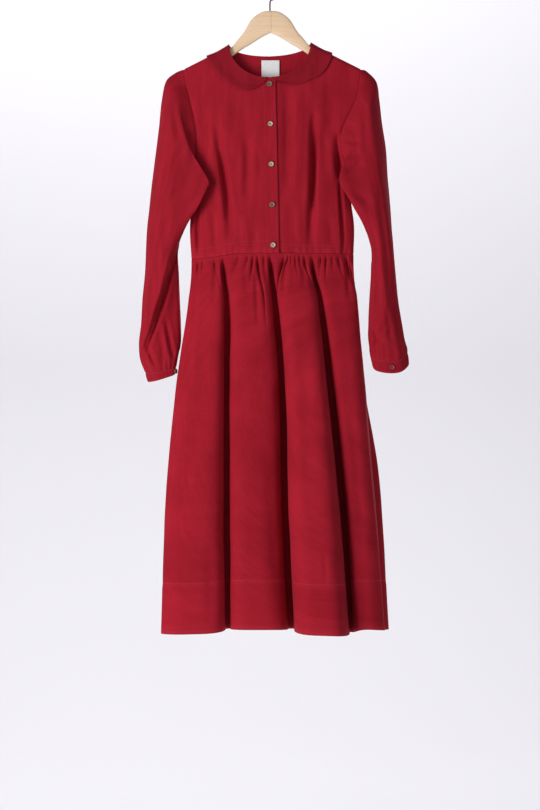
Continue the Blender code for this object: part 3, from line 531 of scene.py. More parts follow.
def run_at(x, drop):
    """Run of cloth from the shoulder line down to a drop: round the bend, then straight."""
    below = np.maximum(drop - shoulder_drop(x), 0)
    bend = BEND * np.arccos(np.clip(1 - below / BEND, -1, 1))
    return np.where(below < BEND, bend, BEND_RUN + below - BEND)


def waist_sag(x):
    """How far the waist seam dips below its level towards the wearer's right."""
    return WAIST_SAG * ease((-x - 50 * MM) / (90 * MM))


def fold_depth(x, drop):
    """Sum of the front's long folds: troughs across x that follow a path down the drop."""
    total = np.zeros(np.broadcast(x, drop).shape)
    for x1, drop1, x2, drop2, x3, drop3, deep, width in zip(*BODICE_FOLDS.values()):
        path = curve_through(drop, [drop1, drop2, drop3], [x1, x2, x3])
        fade = ease((drop - drop1 + 20 * MM) / (drop2 - drop1))
        fade = fade * ease((drop3 + 30 * MM - drop) / (drop3 - drop2))
        total = total + deep * fade * bell(x - path, width)
    return total


def depth(x, drop, face):
    """Distance from the hanger's plane to the torso's outer cloth: a rounded oval in plan."""
    below = drop - shoulder_drop(x)
    middle = BEND + (curve_through(drop, TORSO["drop"], TORSO[face]) - BEND) * ease(below / 0.12)
    left = curve_through(drop, TORSO["drop"], TORSO["left"])
    right = curve_through(drop, TORSO["drop"], TORSO["right"])
    across = np.clip(np.where(x < 0, x / left, x / right), 0, 1)
    rounding = 1 - np.sqrt(1 - across ** SIDE_ROUNDING)
    full = middle * (1 - ease((below - 0.01) / 0.1) * rounding)
    if face == "front":
        full = full - fold_depth(x, drop) * (1 - rounding) * ease(below / 0.1)
    return full


def drape(x, run, face, out=0.0):
    """Cloth at x and a run from the shoulder line, moved out: an arc, then the torso's depth."""
    sign, _ = FACES[face]
    angle = np.clip(run / BEND, 0, math.pi / 2)
    past = np.maximum(run - BEND_RUN, 0)
    drop = shoulder_drop(x) + BEND + past
    y = np.where(run < BEND_RUN, (BEND + out) * np.sin(angle), depth(x, drop, face) + out)
    z = (BEND + out) * np.cos(angle) - drop
    return np.stack([x, sign * y, z], axis=-1)


def centre_line(drop):
    """Where the buttons' line lies at a drop."""
    slope = (CENTRE_FOOT[0] - CENTRE_TOP[0]) / (CENTRE_FOOT[1] - CENTRE_TOP[1])
    return CENTRE_TOP[0] + (drop - CENTRE_TOP[1]) * slope


def panel(side, face, rows, across):
    """Half a bodice panel: rows are shares from waist to shoulder, across from centre to side."""
    seam_x = SIDES["left"] if side < 0 else SIDES["right"]
    runs = run_at(seam_x, SIDES["drop"])
    runs[-1] = 0
    waist_drop = WAIST - SEAM_GAP / 2
    side_waist = curve_through(waist_drop, TORSO["drop"], TORSO["left" if side < 0 else "right"])
    outer_run = np.maximum(run_at(side_waist, waist_drop) * (1 - rows), SEAM_GAP / 2)
    outer_x = curve_through(outer_run, runs[::-1], seam_x[::-1])

    neck_run = NECK_RUN_FRONT if face == "front" else NECK_RUN_BACK
    neck_drop = shoulder_drop(0) + BEND + neck_run - BEND_RUN
    low = np.minimum(rows / NECK_SHARE, 1)
    inner_drop = waist_drop + (neck_drop - waist_drop) * low
    inner_x = centre_line(inner_drop) - side * PLACKET_HALF if face == "front" else 0 * rows
    on_neck = rows >= NECK_SHARE
    start = math.acos(np.clip(side * inner_x[on_neck][0] / NECK_HALF, -1, 1))
    angle = start * (1 - np.clip((rows - NECK_SHARE) / (1 - NECK_SHARE), 0, 1))
    inner_x = np.where(on_neck, side * NECK_HALF * np.cos(angle), inner_x)
    inner_run = np.where(on_neck, neck_run * np.sin(angle), run_at(inner_x, inner_drop))
    inner_run = np.maximum(inner_run, SEAM_GAP / 2)

    across = across[None, :]
    x = inner_x[:, None] * (1 - across) + outer_x[:, None] * across
    straight = inner_run[:, None] * (1 - across) + outer_run[:, None] * across
    inner_level = shoulder_drop(inner_x) + BEND + inner_run - BEND_RUN
    outer_level = shoulder_drop(outer_x) + BEND + outer_run - BEND_RUN
    level = inner_level[:, None] * (1 - across) + outer_level[:, None] * across
    top = ease((rows - NECK_SHARE) / 0.2)[:, None]
    run = run_at(x, level) * (1 - top) + straight * top
    return x, run


def troughs(x, drop, rows):
    """Sum of soft troughs: each falls off as a bell from its bent path and fades at both ends."""
    total = np.zeros(x.shape)
    shares = np.linspace(0, 1, TROUGH_STEPS + 1)
    for x1, drop1, x2, drop2, x3, drop3, deep, width in zip(*rows.values()):
        path_x = (1 - shares) ** 2 * x1 + 2 * shares * (1 - shares) * x2 + shares ** 2 * x3
        path_drop = ((1 - shares) ** 2 * drop1 + 2 * shares * (1 - shares) * drop2
                     + shares ** 2 * drop3)
        nearest = np.full(x.shape, 9.0)
        place = np.zeros(x.shape)
        for step in range(TROUGH_STEPS):
            run_x = path_x[step + 1] - path_x[step]
            run_drop = path_drop[step + 1] - path_drop[step]
            along = ((x - path_x[step]) * run_x + (drop - path_drop[step]) * run_drop)
            along = np.clip(along / (run_x ** 2 + run_drop ** 2), 0, 1)
            off = np.hypot(x - path_x[step] - along * run_x,
                           drop - path_drop[step] - along * run_drop)
            closer = off < nearest
            nearest = np.where(closer, off, nearest)
            place = np.where(closer, (step + along) / TROUGH_STEPS, place)
        fade = np.sin(math.pi * np.clip(place, 0, 1)) ** 0.7
        ridge = TROUGH_RIDGE * bell(nearest - TROUGH_RIDGE_PLACE * width, width)
        total = total + deep * fade * (bell(nearest, width) - ridge)
    return total


def unevenness(u, v, seed):
    """Slight waves of hung cloth, a millimetre high at most: sines in five fixed directions."""
    total = np.zeros(np.broadcast(u, v).shape)
    for step, (pitch, reach) in enumerate(WAVES):
        turn = seed * 1.7 + step * 2.4
        lean = math.sin(turn) * 0.5
        wave = (u * math.cos(lean) + v * math.sin(lean)) / pitch * 2 * math.pi
        total += reach * np.sin(wave + turn * 3 + 1.5 * np.sin(v * 2 * math.pi / 0.31 + turn))
    return total * MM


def normals(points, closed=False):
    """Unit normals of a grid of points: the cross product of its two tangents."""
    if closed:
        across = np.roll(points, -1, axis=1) - np.roll(points, 1, axis=1)
    else:
        across = np.gradient(points, axis=1)
    down = np.gradient(points, axis=0)
    facing = np.cross(across, down)
    return facing / np.maximum(np.linalg.norm(facing, axis=-1, keepdims=True), 1e-12)


def outward_sign(points, toward, closed=False):
    """1 if the grid's normals agree with the given direction, else -1."""
    return 1.0 if (normals(points, closed) * toward).sum() > 0 else -1.0


def pushed(points, amount, toward, closed=False):
    """Grid moved along its outward normals by the amounts."""
    sign = outward_sign(points, toward, closed)
    return points + sign * normals(points, closed) * amount[..., None]


def grid_quads(rows, columns, start, closed, flip):
    """Four-sided faces between a grid's points, and the same faces in its UV grid."""
    index = np.arange(rows * columns).reshape(rows, columns) + start
    if closed:
        index = np.concatenate([index, index[:, :1]], axis=1)
    chart = np.arange(rows * index.shape[1]).reshape(rows, -1)
    made = []
    for grid in (index, chart):
        quads = np.stack([grid[:-1, :-1], grid[:-1, 1:], grid[1:, 1:], grid[1:, :-1]], axis=-1)
        made.append((quads[..., ::-1] if flip else quads).reshape(-1, 4))
    return made


def finish_piece(name, mesh, finish, nodes=()):
    """Put a mesh into the scene as a piece that rides on the body and stands for its nodes."""
    mesh.materials.clear()
    mesh.materials.append(finish)
    mesh.shade_smooth()
    piece = bpy.data.objects.new(name, mesh)
    bpy.context.scene.collection.objects.link(piece)
    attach(piece, "root")
    if nodes:
        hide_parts(*nodes)
    return piece


def weld(mesh):
    """Join the points that lie in one place."""
    work = bmesh.new()
    work.from_mesh(mesh)
    bmesh.ops.remove_doubles(work, verts=work.verts, dist=WELD)
    work.to_mesh(mesh)
    work.free()
    return mesh


def grid_mesh(name, surfaces, attributes=()):
    """One mesh from grids of points, each with its outward direction, UVs and values."""
    points = []
    quads = []
    charts = []
    values = {key: [] for key in attributes}
    start = 0
    for surface in surfaces:
        grid = surface["points"]
        closed = surface.get("closed", False)
        flip = outward_sign(grid, surface["toward"], closed) < 0
        made, chart = grid_quads(*grid.shape[:2], start, closed, flip)
        quads.append(made)
        uv = surface.get("uv", np.zeros((grid.shape[0], grid.shape[1] + closed, 2)))
        charts.append(uv.reshape(-1, 2)[chart.reshape(-1)])
        points.append(grid.reshape(-1, 3))
        for key in attributes:
            values[key].append(np.broadcast_to(surface[key], grid.shape[:2]).reshape(-1))
        start += grid.shape[0] * grid.shape[1]
    mesh = bpy.data.meshes.new(name)
    mesh.from_pydata(np.concatenate(points).tolist(), [], np.concatenate(quads).tolist())
    layer = mesh.uv_layers.new(name="cloth")
    layer.data.foreach_set("uv", np.concatenate(charts).astype(np.float32).reshape(-1))
    for key in attributes:
        kept = mesh.attributes.new(key, "FLOAT", "POINT")
        kept.data.foreach_set("value", np.concatenate(values[key]).astype(np.float32))
    return weld(mesh)


def cloth(name, surfaces, finish, wall, nodes=None):
    """A cloth piece with a wall: its outer side is the given grids."""
    mesh = grid_mesh(name, surfaces, ("worn",))
    piece = finish_piece(name, mesh, finish, nodes or (name.replace("cloth_", ""),))
    solid = piece.modifiers.new("Wall", "SOLIDIFY")
    solid.thickness = wall
    solid.offset = -1
    return piece


def facing_of(surface):
    """Outward unit normals of a surface's grid."""
    points, closed = surface["points"], surface.get("closed", False)
    return normals(points, closed) * outward_sign(points, surface["toward"], closed)


def rings(loops, **more):
    """A closed surface through loops of points, facing away from the middle of each loop."""
    return {"points": loops, "toward": outwards(loops), "closed": True, **more}


def capped(loops):
    """Loops with the middle of the first and the last added as tips."""
    tips = [np.repeat(loops[row].mean(axis=0)[None, None], loops.shape[1], axis=1)
            for row in (0, -1)]
    return np.concatenate([tips[0], loops, tips[1]])


def circle(steps):
    """Angles round a full circle."""
    return np.linspace(0, 2 * math.pi, steps, endpoint=False)


def lathe(profile, sides):
    """Surface of revolution about Z: a profile of reach and height turned through a full circle."""
    turn = circle(sides)
    reach, height = np.array(profile, dtype=float).T
    return np.stack([reach[:, None] * np.cos(turn), reach[:, None] * np.sin(turn),
                     height[:, None] + 0 * turn], axis=-1)


def tube(path, radius, sides):
    """Round tube: a circle carried along a path, square to it, with one axis square to Y."""
    tangent = np.gradient(path, axis=0)
    tangent /= np.linalg.norm(tangent, axis=1, keepdims=True)
    side = np.cross(tangent, np.array([0.0, 1.0, 0.0]))
    side /= np.maximum(np.linalg.norm(side, axis=1, keepdims=True), 1e-9)
    over = np.cross(tangent, side)
    turn = circle(sides)
    radius = np.broadcast_to(radius, (len(path),))[:, None, None]
    turn = turn[None, :, None]
    ring = np.cos(turn) * side[:, None] + np.sin(turn) * over[:, None]
    return path[:, None] + radius * ring


def stitches(name, lines, finish, pitch, radius):
    """Rows of stitches: small spindles along each line, half sunk in the cloth.

    Each line is points and outward normals; a spindle is a grid of rings that ends in two poles.
    """
    spots = []
    for path, facing in lines:
        lengths = along_path(path)
        where = np.arange(pitch / 2, lengths[-1], pitch)
        here, ahead, out = [
            np.stack([np.interp(at, lengths, values[:, axis]) for axis in range(3)], axis=-1)
            for at, values in ((where, path), (where + pitch * 0.3, path), (where, facing))]
        spots.append(np.stack([here, ahead - here, out], axis=1))
    data = np.concatenate(spots)
    data = data[np.linalg.norm(data[:, 1], axis=1) > pitch * 0.05]
    data[:, 1:] /= np.maximum(np.linalg.norm(data[:, 1:], axis=2, keepdims=True), 1e-9)
    here, along, out = [data[:, part, None, None] for part in range(3)]
    beside = np.cross(along, out)
    place, size, rise = np.array(STITCH_RINGS, dtype=float).T[:, :, None, None]
    turn = circle(STITCH_SIDES)[:, None]
    ring = np.cos(turn) * beside + np.sin(turn) * out
    points = here + along * place * pitch * STITCH_FILL / 2 + (out * rise + ring * size) * radius
    quads, _ = grid_quads(len(STITCH_RINGS), STITCH_SIDES, 0, True, True)
    starts = np.arange(len(points))[:, None, None] * len(STITCH_RINGS) * STITCH_SIDES
    mesh = bpy.data.meshes.new(name)
    mesh.from_pydata(points.reshape(-1, 3).tolist(), [], (quads + starts).reshape(-1, 4).tolist())
    return finish_piece(name, weld(mesh), finish)


class Channel:
    """A node's output that can be used in Python expressions on numbers."""

    def __init__(self, finish, socket):
        self.finish = finish
        self.socket = socket

    def math(self, operation, *values):
        """Add one Math node with these values."""
        return self.finish.node("ShaderNodeMath", {"operation": operation}, dict(enumerate(values)))

    def __add__(self, other):
        return self.math("ADD", self, other)

    __radd__ = __add__

    def __sub__(self, other):
        return self.math("SUBTRACT", self, other)

    def __rsub__(self, other):
        return self.math("SUBTRACT", other, self)

    def __mul__(self, other):
        return self.math("MULTIPLY", self, other)

    __rmul__ = __mul__

    def sine(self):
        """Sine of this value."""
        return self.math("SINE", self)

    def absolute(self):
        """This value without its sign."""
        return self.math("ABSOLUTE", self)


class Finish:
    """One material: its Principled shader and a few ways to add nodes."""

    def __init__(self, name, rough=0.5, metal=0.0, **constants):
        self.material = bpy.data.materials.new(name)
        self.material.use_nodes = True
        self.tree = self.material.node_tree
        self.shader = self.tree.nodes["Principled BSDF"]
        self.shader.inputs["Roughness"].default_value = rough
        self.shader.inputs["Metallic"].default_value = metal
        for key, value in constants.items():
            self.shader.inputs[key.replace("_", " ")].default_value = value

    def node(self, kind, settings=None, inputs=None, output=0):
        """Add any node: its type, its settings, and the values or links of its sockets."""
        node = self.tree.nodes.new(kind)
        for key, value in (settings or {}).items():
            setattr(node, key, value)
        for key, value in (inputs or {}).items():
            if isinstance(value, Channel):
                self.tree.links.new(value.socket, node.inputs[key])
            else:
                node.inputs[key].default_value = value
        return Channel(self, node.outputs[output])

    def set(self, socket, value):
        """Link a channel to one of the shader's sockets."""
        self.tree.links.new(value.socket, self.shader.inputs[socket])

    def mix(self, factor, first, second):
        """Blend two colours."""
        first, second = [c if isinstance(c, Channel) else (*c, 1) for c in (first, second)]
        return self.node("ShaderNodeMix", {"data_type": "RGBA"},
                         {0: factor, 6: first, 7: second}, 2)

    def noise(self, place, factors, detail=2.0, rough=0.5):
        """Noise from 0 to 1 on a place with each axis multiplied."""
        place = self.node("ShaderNodeVectorMath", {"operation": "MULTIPLY"}, {0: place, 1: factors})
        return self.node("ShaderNodeTexNoise", {}, {"Vector": place, "Scale": 1.0,
                                                    "Detail": detail, "Roughness": rough})

    def between(self, value, low, high):
        """0 below the low value, 1 above the high one, and smooth between."""
        return self.node("ShaderNodeMapRange", {"interpolation_type": "SMOOTHSTEP"},
                         {0: value, 1: low, 2: high})

    def uv(self):
        """The piece's own cloth coordinates, in metres."""
        return self.node("ShaderNodeUVMap", {"uv_map": "cloth"})

    def object(self):
        """Object coordinates, in metres."""
        return self.node("ShaderNodeTexCoord", {}, {}, 3)

    def attribute(self, name):
        """A value kept on the mesh."""
        return self.node("ShaderNodeAttribute", {"attribute_name": name}, {}, 2)

    def axes(self, place):
        """X, Y and Z of a place as three channels."""
        split = self.tree.nodes.new("ShaderNodeSeparateXYZ")
        self.tree.links.new(place.socket, split.inputs[0])
        return [Channel(self, out) for out in split.outputs]

    def bump(self, height, distance, strength):
        """Raise the surface by a height."""
        self.set("Normal", self.node("ShaderNodeBump", {}, {"Height": height, "Distance": distance,
                                                            "Strength": strength}))


def dimmed(colour, share):
    """A colour with a share of its brightness."""
    return tuple(part * share for part in colour)


def linen(name, colour, deep, light, pitch):
    """Matt woven linen: plain weave, slubs along both threads, soft mottling, paler worn edges."""
    made = Finish(name, 0.88, Sheen_Weight=0.06, Sheen_Roughness=0.5,
                  Sheen_Tint=(0.9, 0.25, 0.28, 1), Specular_IOR_Level=0.12)
    place = made.uv()
    u, v, _ = made.axes(place)
    weft = made.noise(place, (30, 1400, 1))
    warp = made.noise(place, (1400, 30, 1))
    mottle = made.noise(place, (16, 9, 1), 4.0, 0.6)
    streaks = made.noise(place, (70, 9, 1), 3.0, 0.55)
    grain = made.noise(place, (420, 420, 1))
    threads = (u * (2 * math.pi / pitch)).sine() * (v * (2 * math.pi / pitch)).sine()
    tone = weft * 0.12 + warp * 0.16 + mottle * 0.28 + streaks * 0.34 + grain * 0.1
    shade = made.mix(made.between(tone, 0.38, 0.62), deep, light)
    body = made.mix(0.55, colour, shade)
    pale = tuple(min(1, part * 1.5 + 0.02) for part in light)
    made.set("Base Color", made.mix(made.attribute("worn") * 0.35, body, pale))
    made.set("Roughness", 0.8 + 0.12 * mottle)
    made.bump(threads * 0.12 + weft * 0.28 + warp * 0.4 + grain * 0.4, 0.00035, 0.4)
    return made.material


def thread_finish(name, colour):
    """Twisted cotton thread with a soft gloss."""
    made = Finish(name, 0.55)
    twist = made.noise(made.object(), (900, 900, 900))
    made.set("Base Color", made.mix(twist, dimmed(colour, 0.7), colour))
    made.bump(twist, 0.0002, 0.4)
    return made.material


def shell_finish(name, pale, dark):
    """Polished shell: cloudy swirls between two tones, each button a little different, with a
    painted shadow on its rim.
    """
    made = Finish(name, 0.28, Coat_Weight=0.4, Coat_Roughness=0.15)
    place = made.object()
    bend = made.noise(place, (160, 160, 160))
    swirl = made.noise(place, (240, 240, 520), 3.0, 0.6)
    # The kept tone holds each button's own tone and the painted shadow that darkens its rim
    tone = made.attribute("tone")
    factor = made.between(swirl * 0.55 + bend * 0.25 + tone * 0.5, 0.35, 0.85)
    made.set("Base Color", made.mix(factor, dark, pale))
    made.set("Roughness", 0.22 + 0.2 * swirl)
    made.bump(swirl, 0.0002, 0.25)
    return made.material


def wood_finish(name, pale, dark):
    """Lacquered pale wood: long grain along the arms, fine pores and a joint in the middle."""
    made = Finish(name, 0.42, Coat_Weight=0.25, Coat_Roughness=0.25)
    place = made.object()
    x, _, z = made.axes(place)
    bent = made.noise(place, (9, 40, 60), 3.0)
    bands = made.noise(place, (18, 260, 330), 4.0, 0.62)
    pores = made.noise(place, (120, 2400, 2400))
    tone = made.between(bands * 0.7 + bent * 0.3, 0.34, 0.7)
    body = made.mix(tone, pale, dark)
    body = made.mix(made.between(pores, 0.56, 0.74) * 0.35, body, dimmed(dark, 0.62))
    off_joint = (x - 1.2 * MM + z * math.tan(HANGER_TILT)).absolute()
    joint = 1 - made.between(off_joint, 0.25 * MM, 0.7 * MM)
    made.set("Base Color", made.mix(joint * 0.55, body, dimmed(dark, 0.45)))
    made.set("Roughness", 0.34 + 0.2 * bands)
    made.bump(pores * 0.5 + bands - joint * 0.8, 0.0003, 0.3)
    return made.material


def steel_finish(name, colour):
    """Dark drawn wire with fine marks along it."""
    made = Finish(name, 0.3, 1.0)
    marks = made.noise(made.object(), (1600, 1600, 60), 3.0)
    made.set("Base Color", made.mix(marks, dimmed(colour, 0.75), colour))
    made.set("Roughness", 0.22 + 0.25 * marks)
    made.bump(marks, 0.00015, 0.3)
    return made.material


def label_finish(name, colour):
    """Bare white woven tape with a fine rib."""
    made = Finish(name, 0.75)
    place = made.uv()
    _, v, _ = made.axes(place)
    rib = (v * 9000).sine()
    cloud = made.noise(place, (260, 260, 1), 3.0)
    made.set("Base Color", made.mix(cloud, dimmed(colour, 0.88), colour))
    made.bump(rib * 0.5 + cloud, 0.0002, 0.5)
    return made.material


def wall_finish(name, colour):
    """Pale painted wall and floor with a trace of unevenness."""
    made = Finish(name, 0.9)
    cloud = made.noise(made.object(), (1.2, 1.2, 1.2))
    made.set("Base Color", made.mix(cloud, dimmed(colour, 0.985), colour))
    return made.material


class ClothSettings(PropertyGroup):
    """Sizes and colours of the dress."""

    colour: FloatVectorProperty(name="Linen", description="Main colour of the linen",
                                subtype="COLOR", size=3, min=0, max=1,
                                default=(0.355, 0.0085, 0.021))
    deep: FloatVectorProperty(name="Deep threads", description="Colour of the darker threads",
                              subtype="COLOR", size=3, min=0, max=1, default=(0.265, 0.005, 0.014))
    light: FloatVectorProperty(name="Light threads", description="Colour of the paler threads",
                               subtype="COLOR", size=3, min=0, max=1,
                               default=(0.445, 0.014, 0.032))
    # Painted shade: the collar's linen is a copy of the dress's linen, dimmed by this share
    doubled: FloatProperty(name="Doubled cloth", description="Brightness of the collar's layers",
                           default=0.74, min=0.3, max=1)
    # Painted shade: the sleeves and cuffs use a copy of the dress's linen, dimmed by this share
    sleeves: FloatProperty(name="Sleeves", description="Brightness of the sleeves' cloth",
                           default=0.93, min=0.3, max=1)
    thread: FloatVectorProperty(name="Thread", description="Colour of the sewing thread",
                                subtype="COLOR", size=3, min=0, max=1,
                                default=(0.52, 0.05, 0.075))
    label: FloatVectorProperty(name="Label", description="Colour of the label's tape",
                               subtype="COLOR", size=3, min=0, max=1, default=(0.98, 0.97, 0.97))
    wall: FloatProperty(name="Thickness", description="Thickness of the cloth", unit="LENGTH",
                        default=1.1 * MM, min=0.0005, max=0.003)
    weave: FloatProperty(name="Weave", description="Distance between threads of the same colour",
                         unit="LENGTH", default=1.0 * MM, min=0.0004, max=0.003)
    creases: FloatProperty(name="Creases", description="Strength of the soft creases",
                           default=1.0, min=0, max=2)
    gathers: FloatProperty(name="Gathers", description="Height of the waist's gathers",
                           unit="LENGTH", default=2.8 * MM, min=0, max=0.006)
    stitch: FloatProperty(name="Stitch", description="Length of one stitch with its gap",
                          unit="LENGTH", default=3.4 * MM, min=0.002, max=0.006)


class TrimSettings(PropertyGroup):
    """Colours of the buttons and the hanger."""

    shell_pale: FloatVectorProperty(name="Pale shell", description="Paler tone of the buttons",
                                    subtype="COLOR", size=3, min=0, max=1,
                                    default=(0.56, 0.45, 0.34))
    shell_dark: FloatVectorProperty(name="Dark shell", description="Darker tone of the buttons",
                                    subtype="COLOR", size=3, min=0, max=1,
                                    default=(0.15, 0.08, 0.05))
    wood_pale: FloatVectorProperty(name="Pale wood", description="Paler tone of the hanger",
                                   subtype="COLOR", size=3, min=0, max=1,
                                   default=(0.97, 0.73, 0.49))
    wood_dark: FloatVectorProperty(name="Dark wood", description="Darker tone of the hanger",
                                   subtype="COLOR", size=3, min=0, max=1,
                                   default=(0.90, 0.61, 0.37))
    steel: FloatVectorProperty(name="Hook", description="Colour of the hook's wire",
                               subtype="COLOR", size=3, min=0, max=1,
                               default=(0.07, 0.065, 0.065))
    button_sides: IntProperty(name="Button steps", description="Steps round a button",
                              default=40, min=12, max=96)


class StageSettings(PropertyGroup):
    """Camera, lights and backdrop."""

    distance: FloatProperty(name="Distance", description="From the camera to the hanger's plane",
                            unit="LENGTH", default=4.8, min=1, max=12)
    height: FloatProperty(name="Height", description="Height of the camera", unit="LENGTH",
                          default=-0.848)
    lens: FloatProperty(name="Lens", description="Focal length in millimetres", default=106.7,
                        min=20, max=200)
    backdrop: FloatVectorProperty(name="Backdrop", description="Colour of wall and floor",
                                  subtype="COLOR", size=3, min=0, max=1,
                                  default=(0.80, 0.79, 0.82))
    key: FloatProperty(name="Key light", description="Power of the main light", unit="POWER",
                       default=50.0, min=0)
    fill: FloatProperty(name="Fill light", description="Power of the second light", unit="POWER",
                        default=8.0, min=0)
    wall: FloatProperty(name="Wall light", description="Power of the light on the wall",
                        unit="POWER", default=490.0, min=0)
    back: FloatProperty(name="Back light", description="Power of the light behind the dress",
                        unit="POWER", default=26.0, min=0)


finishes = {}


def finish_of(context, key):
    """The material of that name, made from the settings when it is first asked for."""
    if key not in finishes:
        dress = context.scene.dress_cloth
        trim = context.scene.dress_trim
        makers = {
            "thread": (thread_finish, dress.thread),
            "dark_thread": (thread_finish, THREAD_AND_HOLE_SHADE),
            "label_tape": (label_finish, dress.label),
            "shell": (shell_finish, trim.shell_pale, trim.shell_dark),
            "dyed_shell": (shell_finish, *DYED_SHELL),
            "wood": (wood_finish, trim.wood_pale, trim.wood_dark),
            "steel": (steel_finish, trim.steel),
        }
        # Besides the plain linen: copies dimmed with painted shade, one for the collar and one for
        # the sleeves and cuffs
        for name, share in (("linen", 1.0), ("doubled_linen", dress.doubled),
                            ("sleeve_linen", dress.sleeves)):
            tones = [dimmed(tone, share) for tone in (dress.colour, dress.deep, dress.light)]
            makers[name] = (linen, *tones, dress.weave)
        maker, *values = makers[key]
        finishes[key] = maker(key, *values)
    return finishes[key]


def edge_worn(rows, columns, first_row=0.0, last_row=0.0, first_column=0.0, last_column=0.0):
    """Wear that is strongest on the named edges of a grid and gone a few rows in."""
    down = np.arange(rows)[:, None]
    over = np.arange(columns)[None, :]
    worn = first_row * fading(down, 1.2) + last_row * fading(rows - 1 - down, 1.2)
    worn = worn + first_column * fading(over, 1.0) + last_column * fading(columns - 1 - over, 1.0)
    return np.clip(worn, 0, 1)


def bodice_surface(context, side, face):
    """Finished half panel: the draped form, less its creases, with ditches at its seams."""
    dress = context.scene.dress_cloth
    x, run = panel(side, face, PANEL_ROWS, PANEL_ACROSS)
    points = drape(x, run, face)
    if face == "front" and side > 0:
        past = points[..., 0] - centre_line(-points[..., 2]) - PLACKET_HALF - PLACKET_STEP_REACH
        points[..., 1] += PLACKET_STEP * (1 - ease(past / PLACKET_STEP_FADE))
    sign, toward = FACES[face]
    along_x, drop = points[..., 0], -points[..., 2]
    below = drop - shoulder_drop(along_x)
    from_edge = 1 - PANEL_ACROSS[None, :]
    calm = ease(below / SHOULDER_CALM) * ease(from_edge / PANEL_SIDE_CALM)
    waist_calm = ease((WAIST - drop) / WAIST_CALM)
    amount = -troughs(along_x, drop, BODICE_TROUGHS[face]) * dress.creases
    amount = amount + unevenness(along_x, run, 1.0 if face == "front" else 2.0)
    waves, sway, sway_waves = PUCKER_WAVES
    puckers = np.sin(along_x * waves + sway * np.sin(along_x * sway_waves))
    puckers = puckers * PUCKER_HEIGHT * fading(WAIST - drop, PUCKER_REACH)
    amount = (amount * (0.35 + 0.65 * waist_calm) + puckers) * calm
    uneven = 0.6 + 0.4 * np.sin(along_x * 71 + 1.3)
    amount = amount - WAIST_DITCH * uneven * bell(WAIST - drop, 2 * MM)
    above_arm = ease((PANEL_ROWS - UNDERARM_SHARE) / 0.05)[:, None]
    amount = amount - ARMHOLE_DITCH * bell(from_edge, 0.014) * above_arm
    points = pushed(points, amount, toward)
    low = PANEL_ROWS <= UNDERARM_SHARE
    points[low, -1, 1] = sign * SEAM_GAP / 2
    points[0, :, 2] = -(WAIST - SEAM_GAP / 2)
    points[..., 1] = sign * np.maximum(sign * points[..., 1], SEAM_GAP / 2)
    points[..., 2] -= waist_sag(points[..., 0]) * ease(1 - (WAIST - drop) / WAIST_SAG_REACH)
    worn = edge_worn(*points.shape[:2], first_row=0.4, last_column=0.35,
                     first_column=0.6 if face == "front" else 0.0)
    return {"points": points, "toward": toward, "uv": np.stack([x, run], axis=-1), "worn": worn}


def skirt_lobes(numbers, drop, face):
    """The skirt's section at a drop: rounded lobes between narrow pleats."""
    valleys = FRONT_VALLEYS if face == "front" else BACK_VALLEYS
    lobes = FRONT_LOBES if face == "front" else BACK_LOBES
    sign, _ = FACES[face]
    x = np.zeros(numbers.shape)
    y = np.zeros(numbers.shape)
    for lobe, (heights, spreads) in enumerate(lobes):
        first, first_x, first_y = valleys[lobe]
        last, last_x, last_y = valleys[lobe + 1]
        inside = (numbers >= first) & (numbers <= last)
        start, end, height, spread = [
            np.stack([curve_through(drop, SKIRT_LEVELS, np.array(value) * MM) for value in values])
            for values in ((first_x, first_y), (last_x, last_y), (heights,), (spreads,))]
        length = np.abs(end[0] - start[0])
        along_axis = (end - start) / length
        start_side = lobe == 0
        end_side = lobe == len(lobes) - 1
        share = PLEAT_FLOOR_SHARE
        arch = np.clip((numbers - first - share) / (last - first - 2 * share), 0, 1)
        start_floor = np.clip((numbers - first) / share, 0, 1)
        end_floor = np.clip((last - numbers) / share, 0, 1)
        start_width = 0.0 if start_side else PLEAT_FLOOR
        end_width = 0.0 if end_side else PLEAT_FLOOR
        turn = np.cos(math.pi * arch)
        push = rounded(turn, 0.8)
        middle = length - start_width - end_width
        along = start_width * start_floor + middle * (1 - push) / 2 + end_width * (1 - end_floor)
        start_rise, end_rise = [
            SEAM_RETURN * floor if at_side else PLEAT_FLOOR_SAG * (floor - 1)
            for floor, at_side in ((start_floor, start_side), (end_floor, end_side))]
        foot = np.where(arch < 0.5, start_rise, end_rise)
        bulge = (1 - np.abs(turn) ** 3) ** 0.45
        rise = foot + (height[0] - foot) * bulge
        shoulder = 4 * np.abs(turn) * bulge * (1 - bulge)
        starts_here = np.where(turn > 0, float(start_side), float(end_side))
        along = along - np.sign(turn) * spread[0] * shoulder * starts_here
        x = np.where(inside, start[0] + along_axis[0] * along, x)
        y = np.where(inside, start[1] + along_axis[1] * along + sign * rise, y)
    return x, y


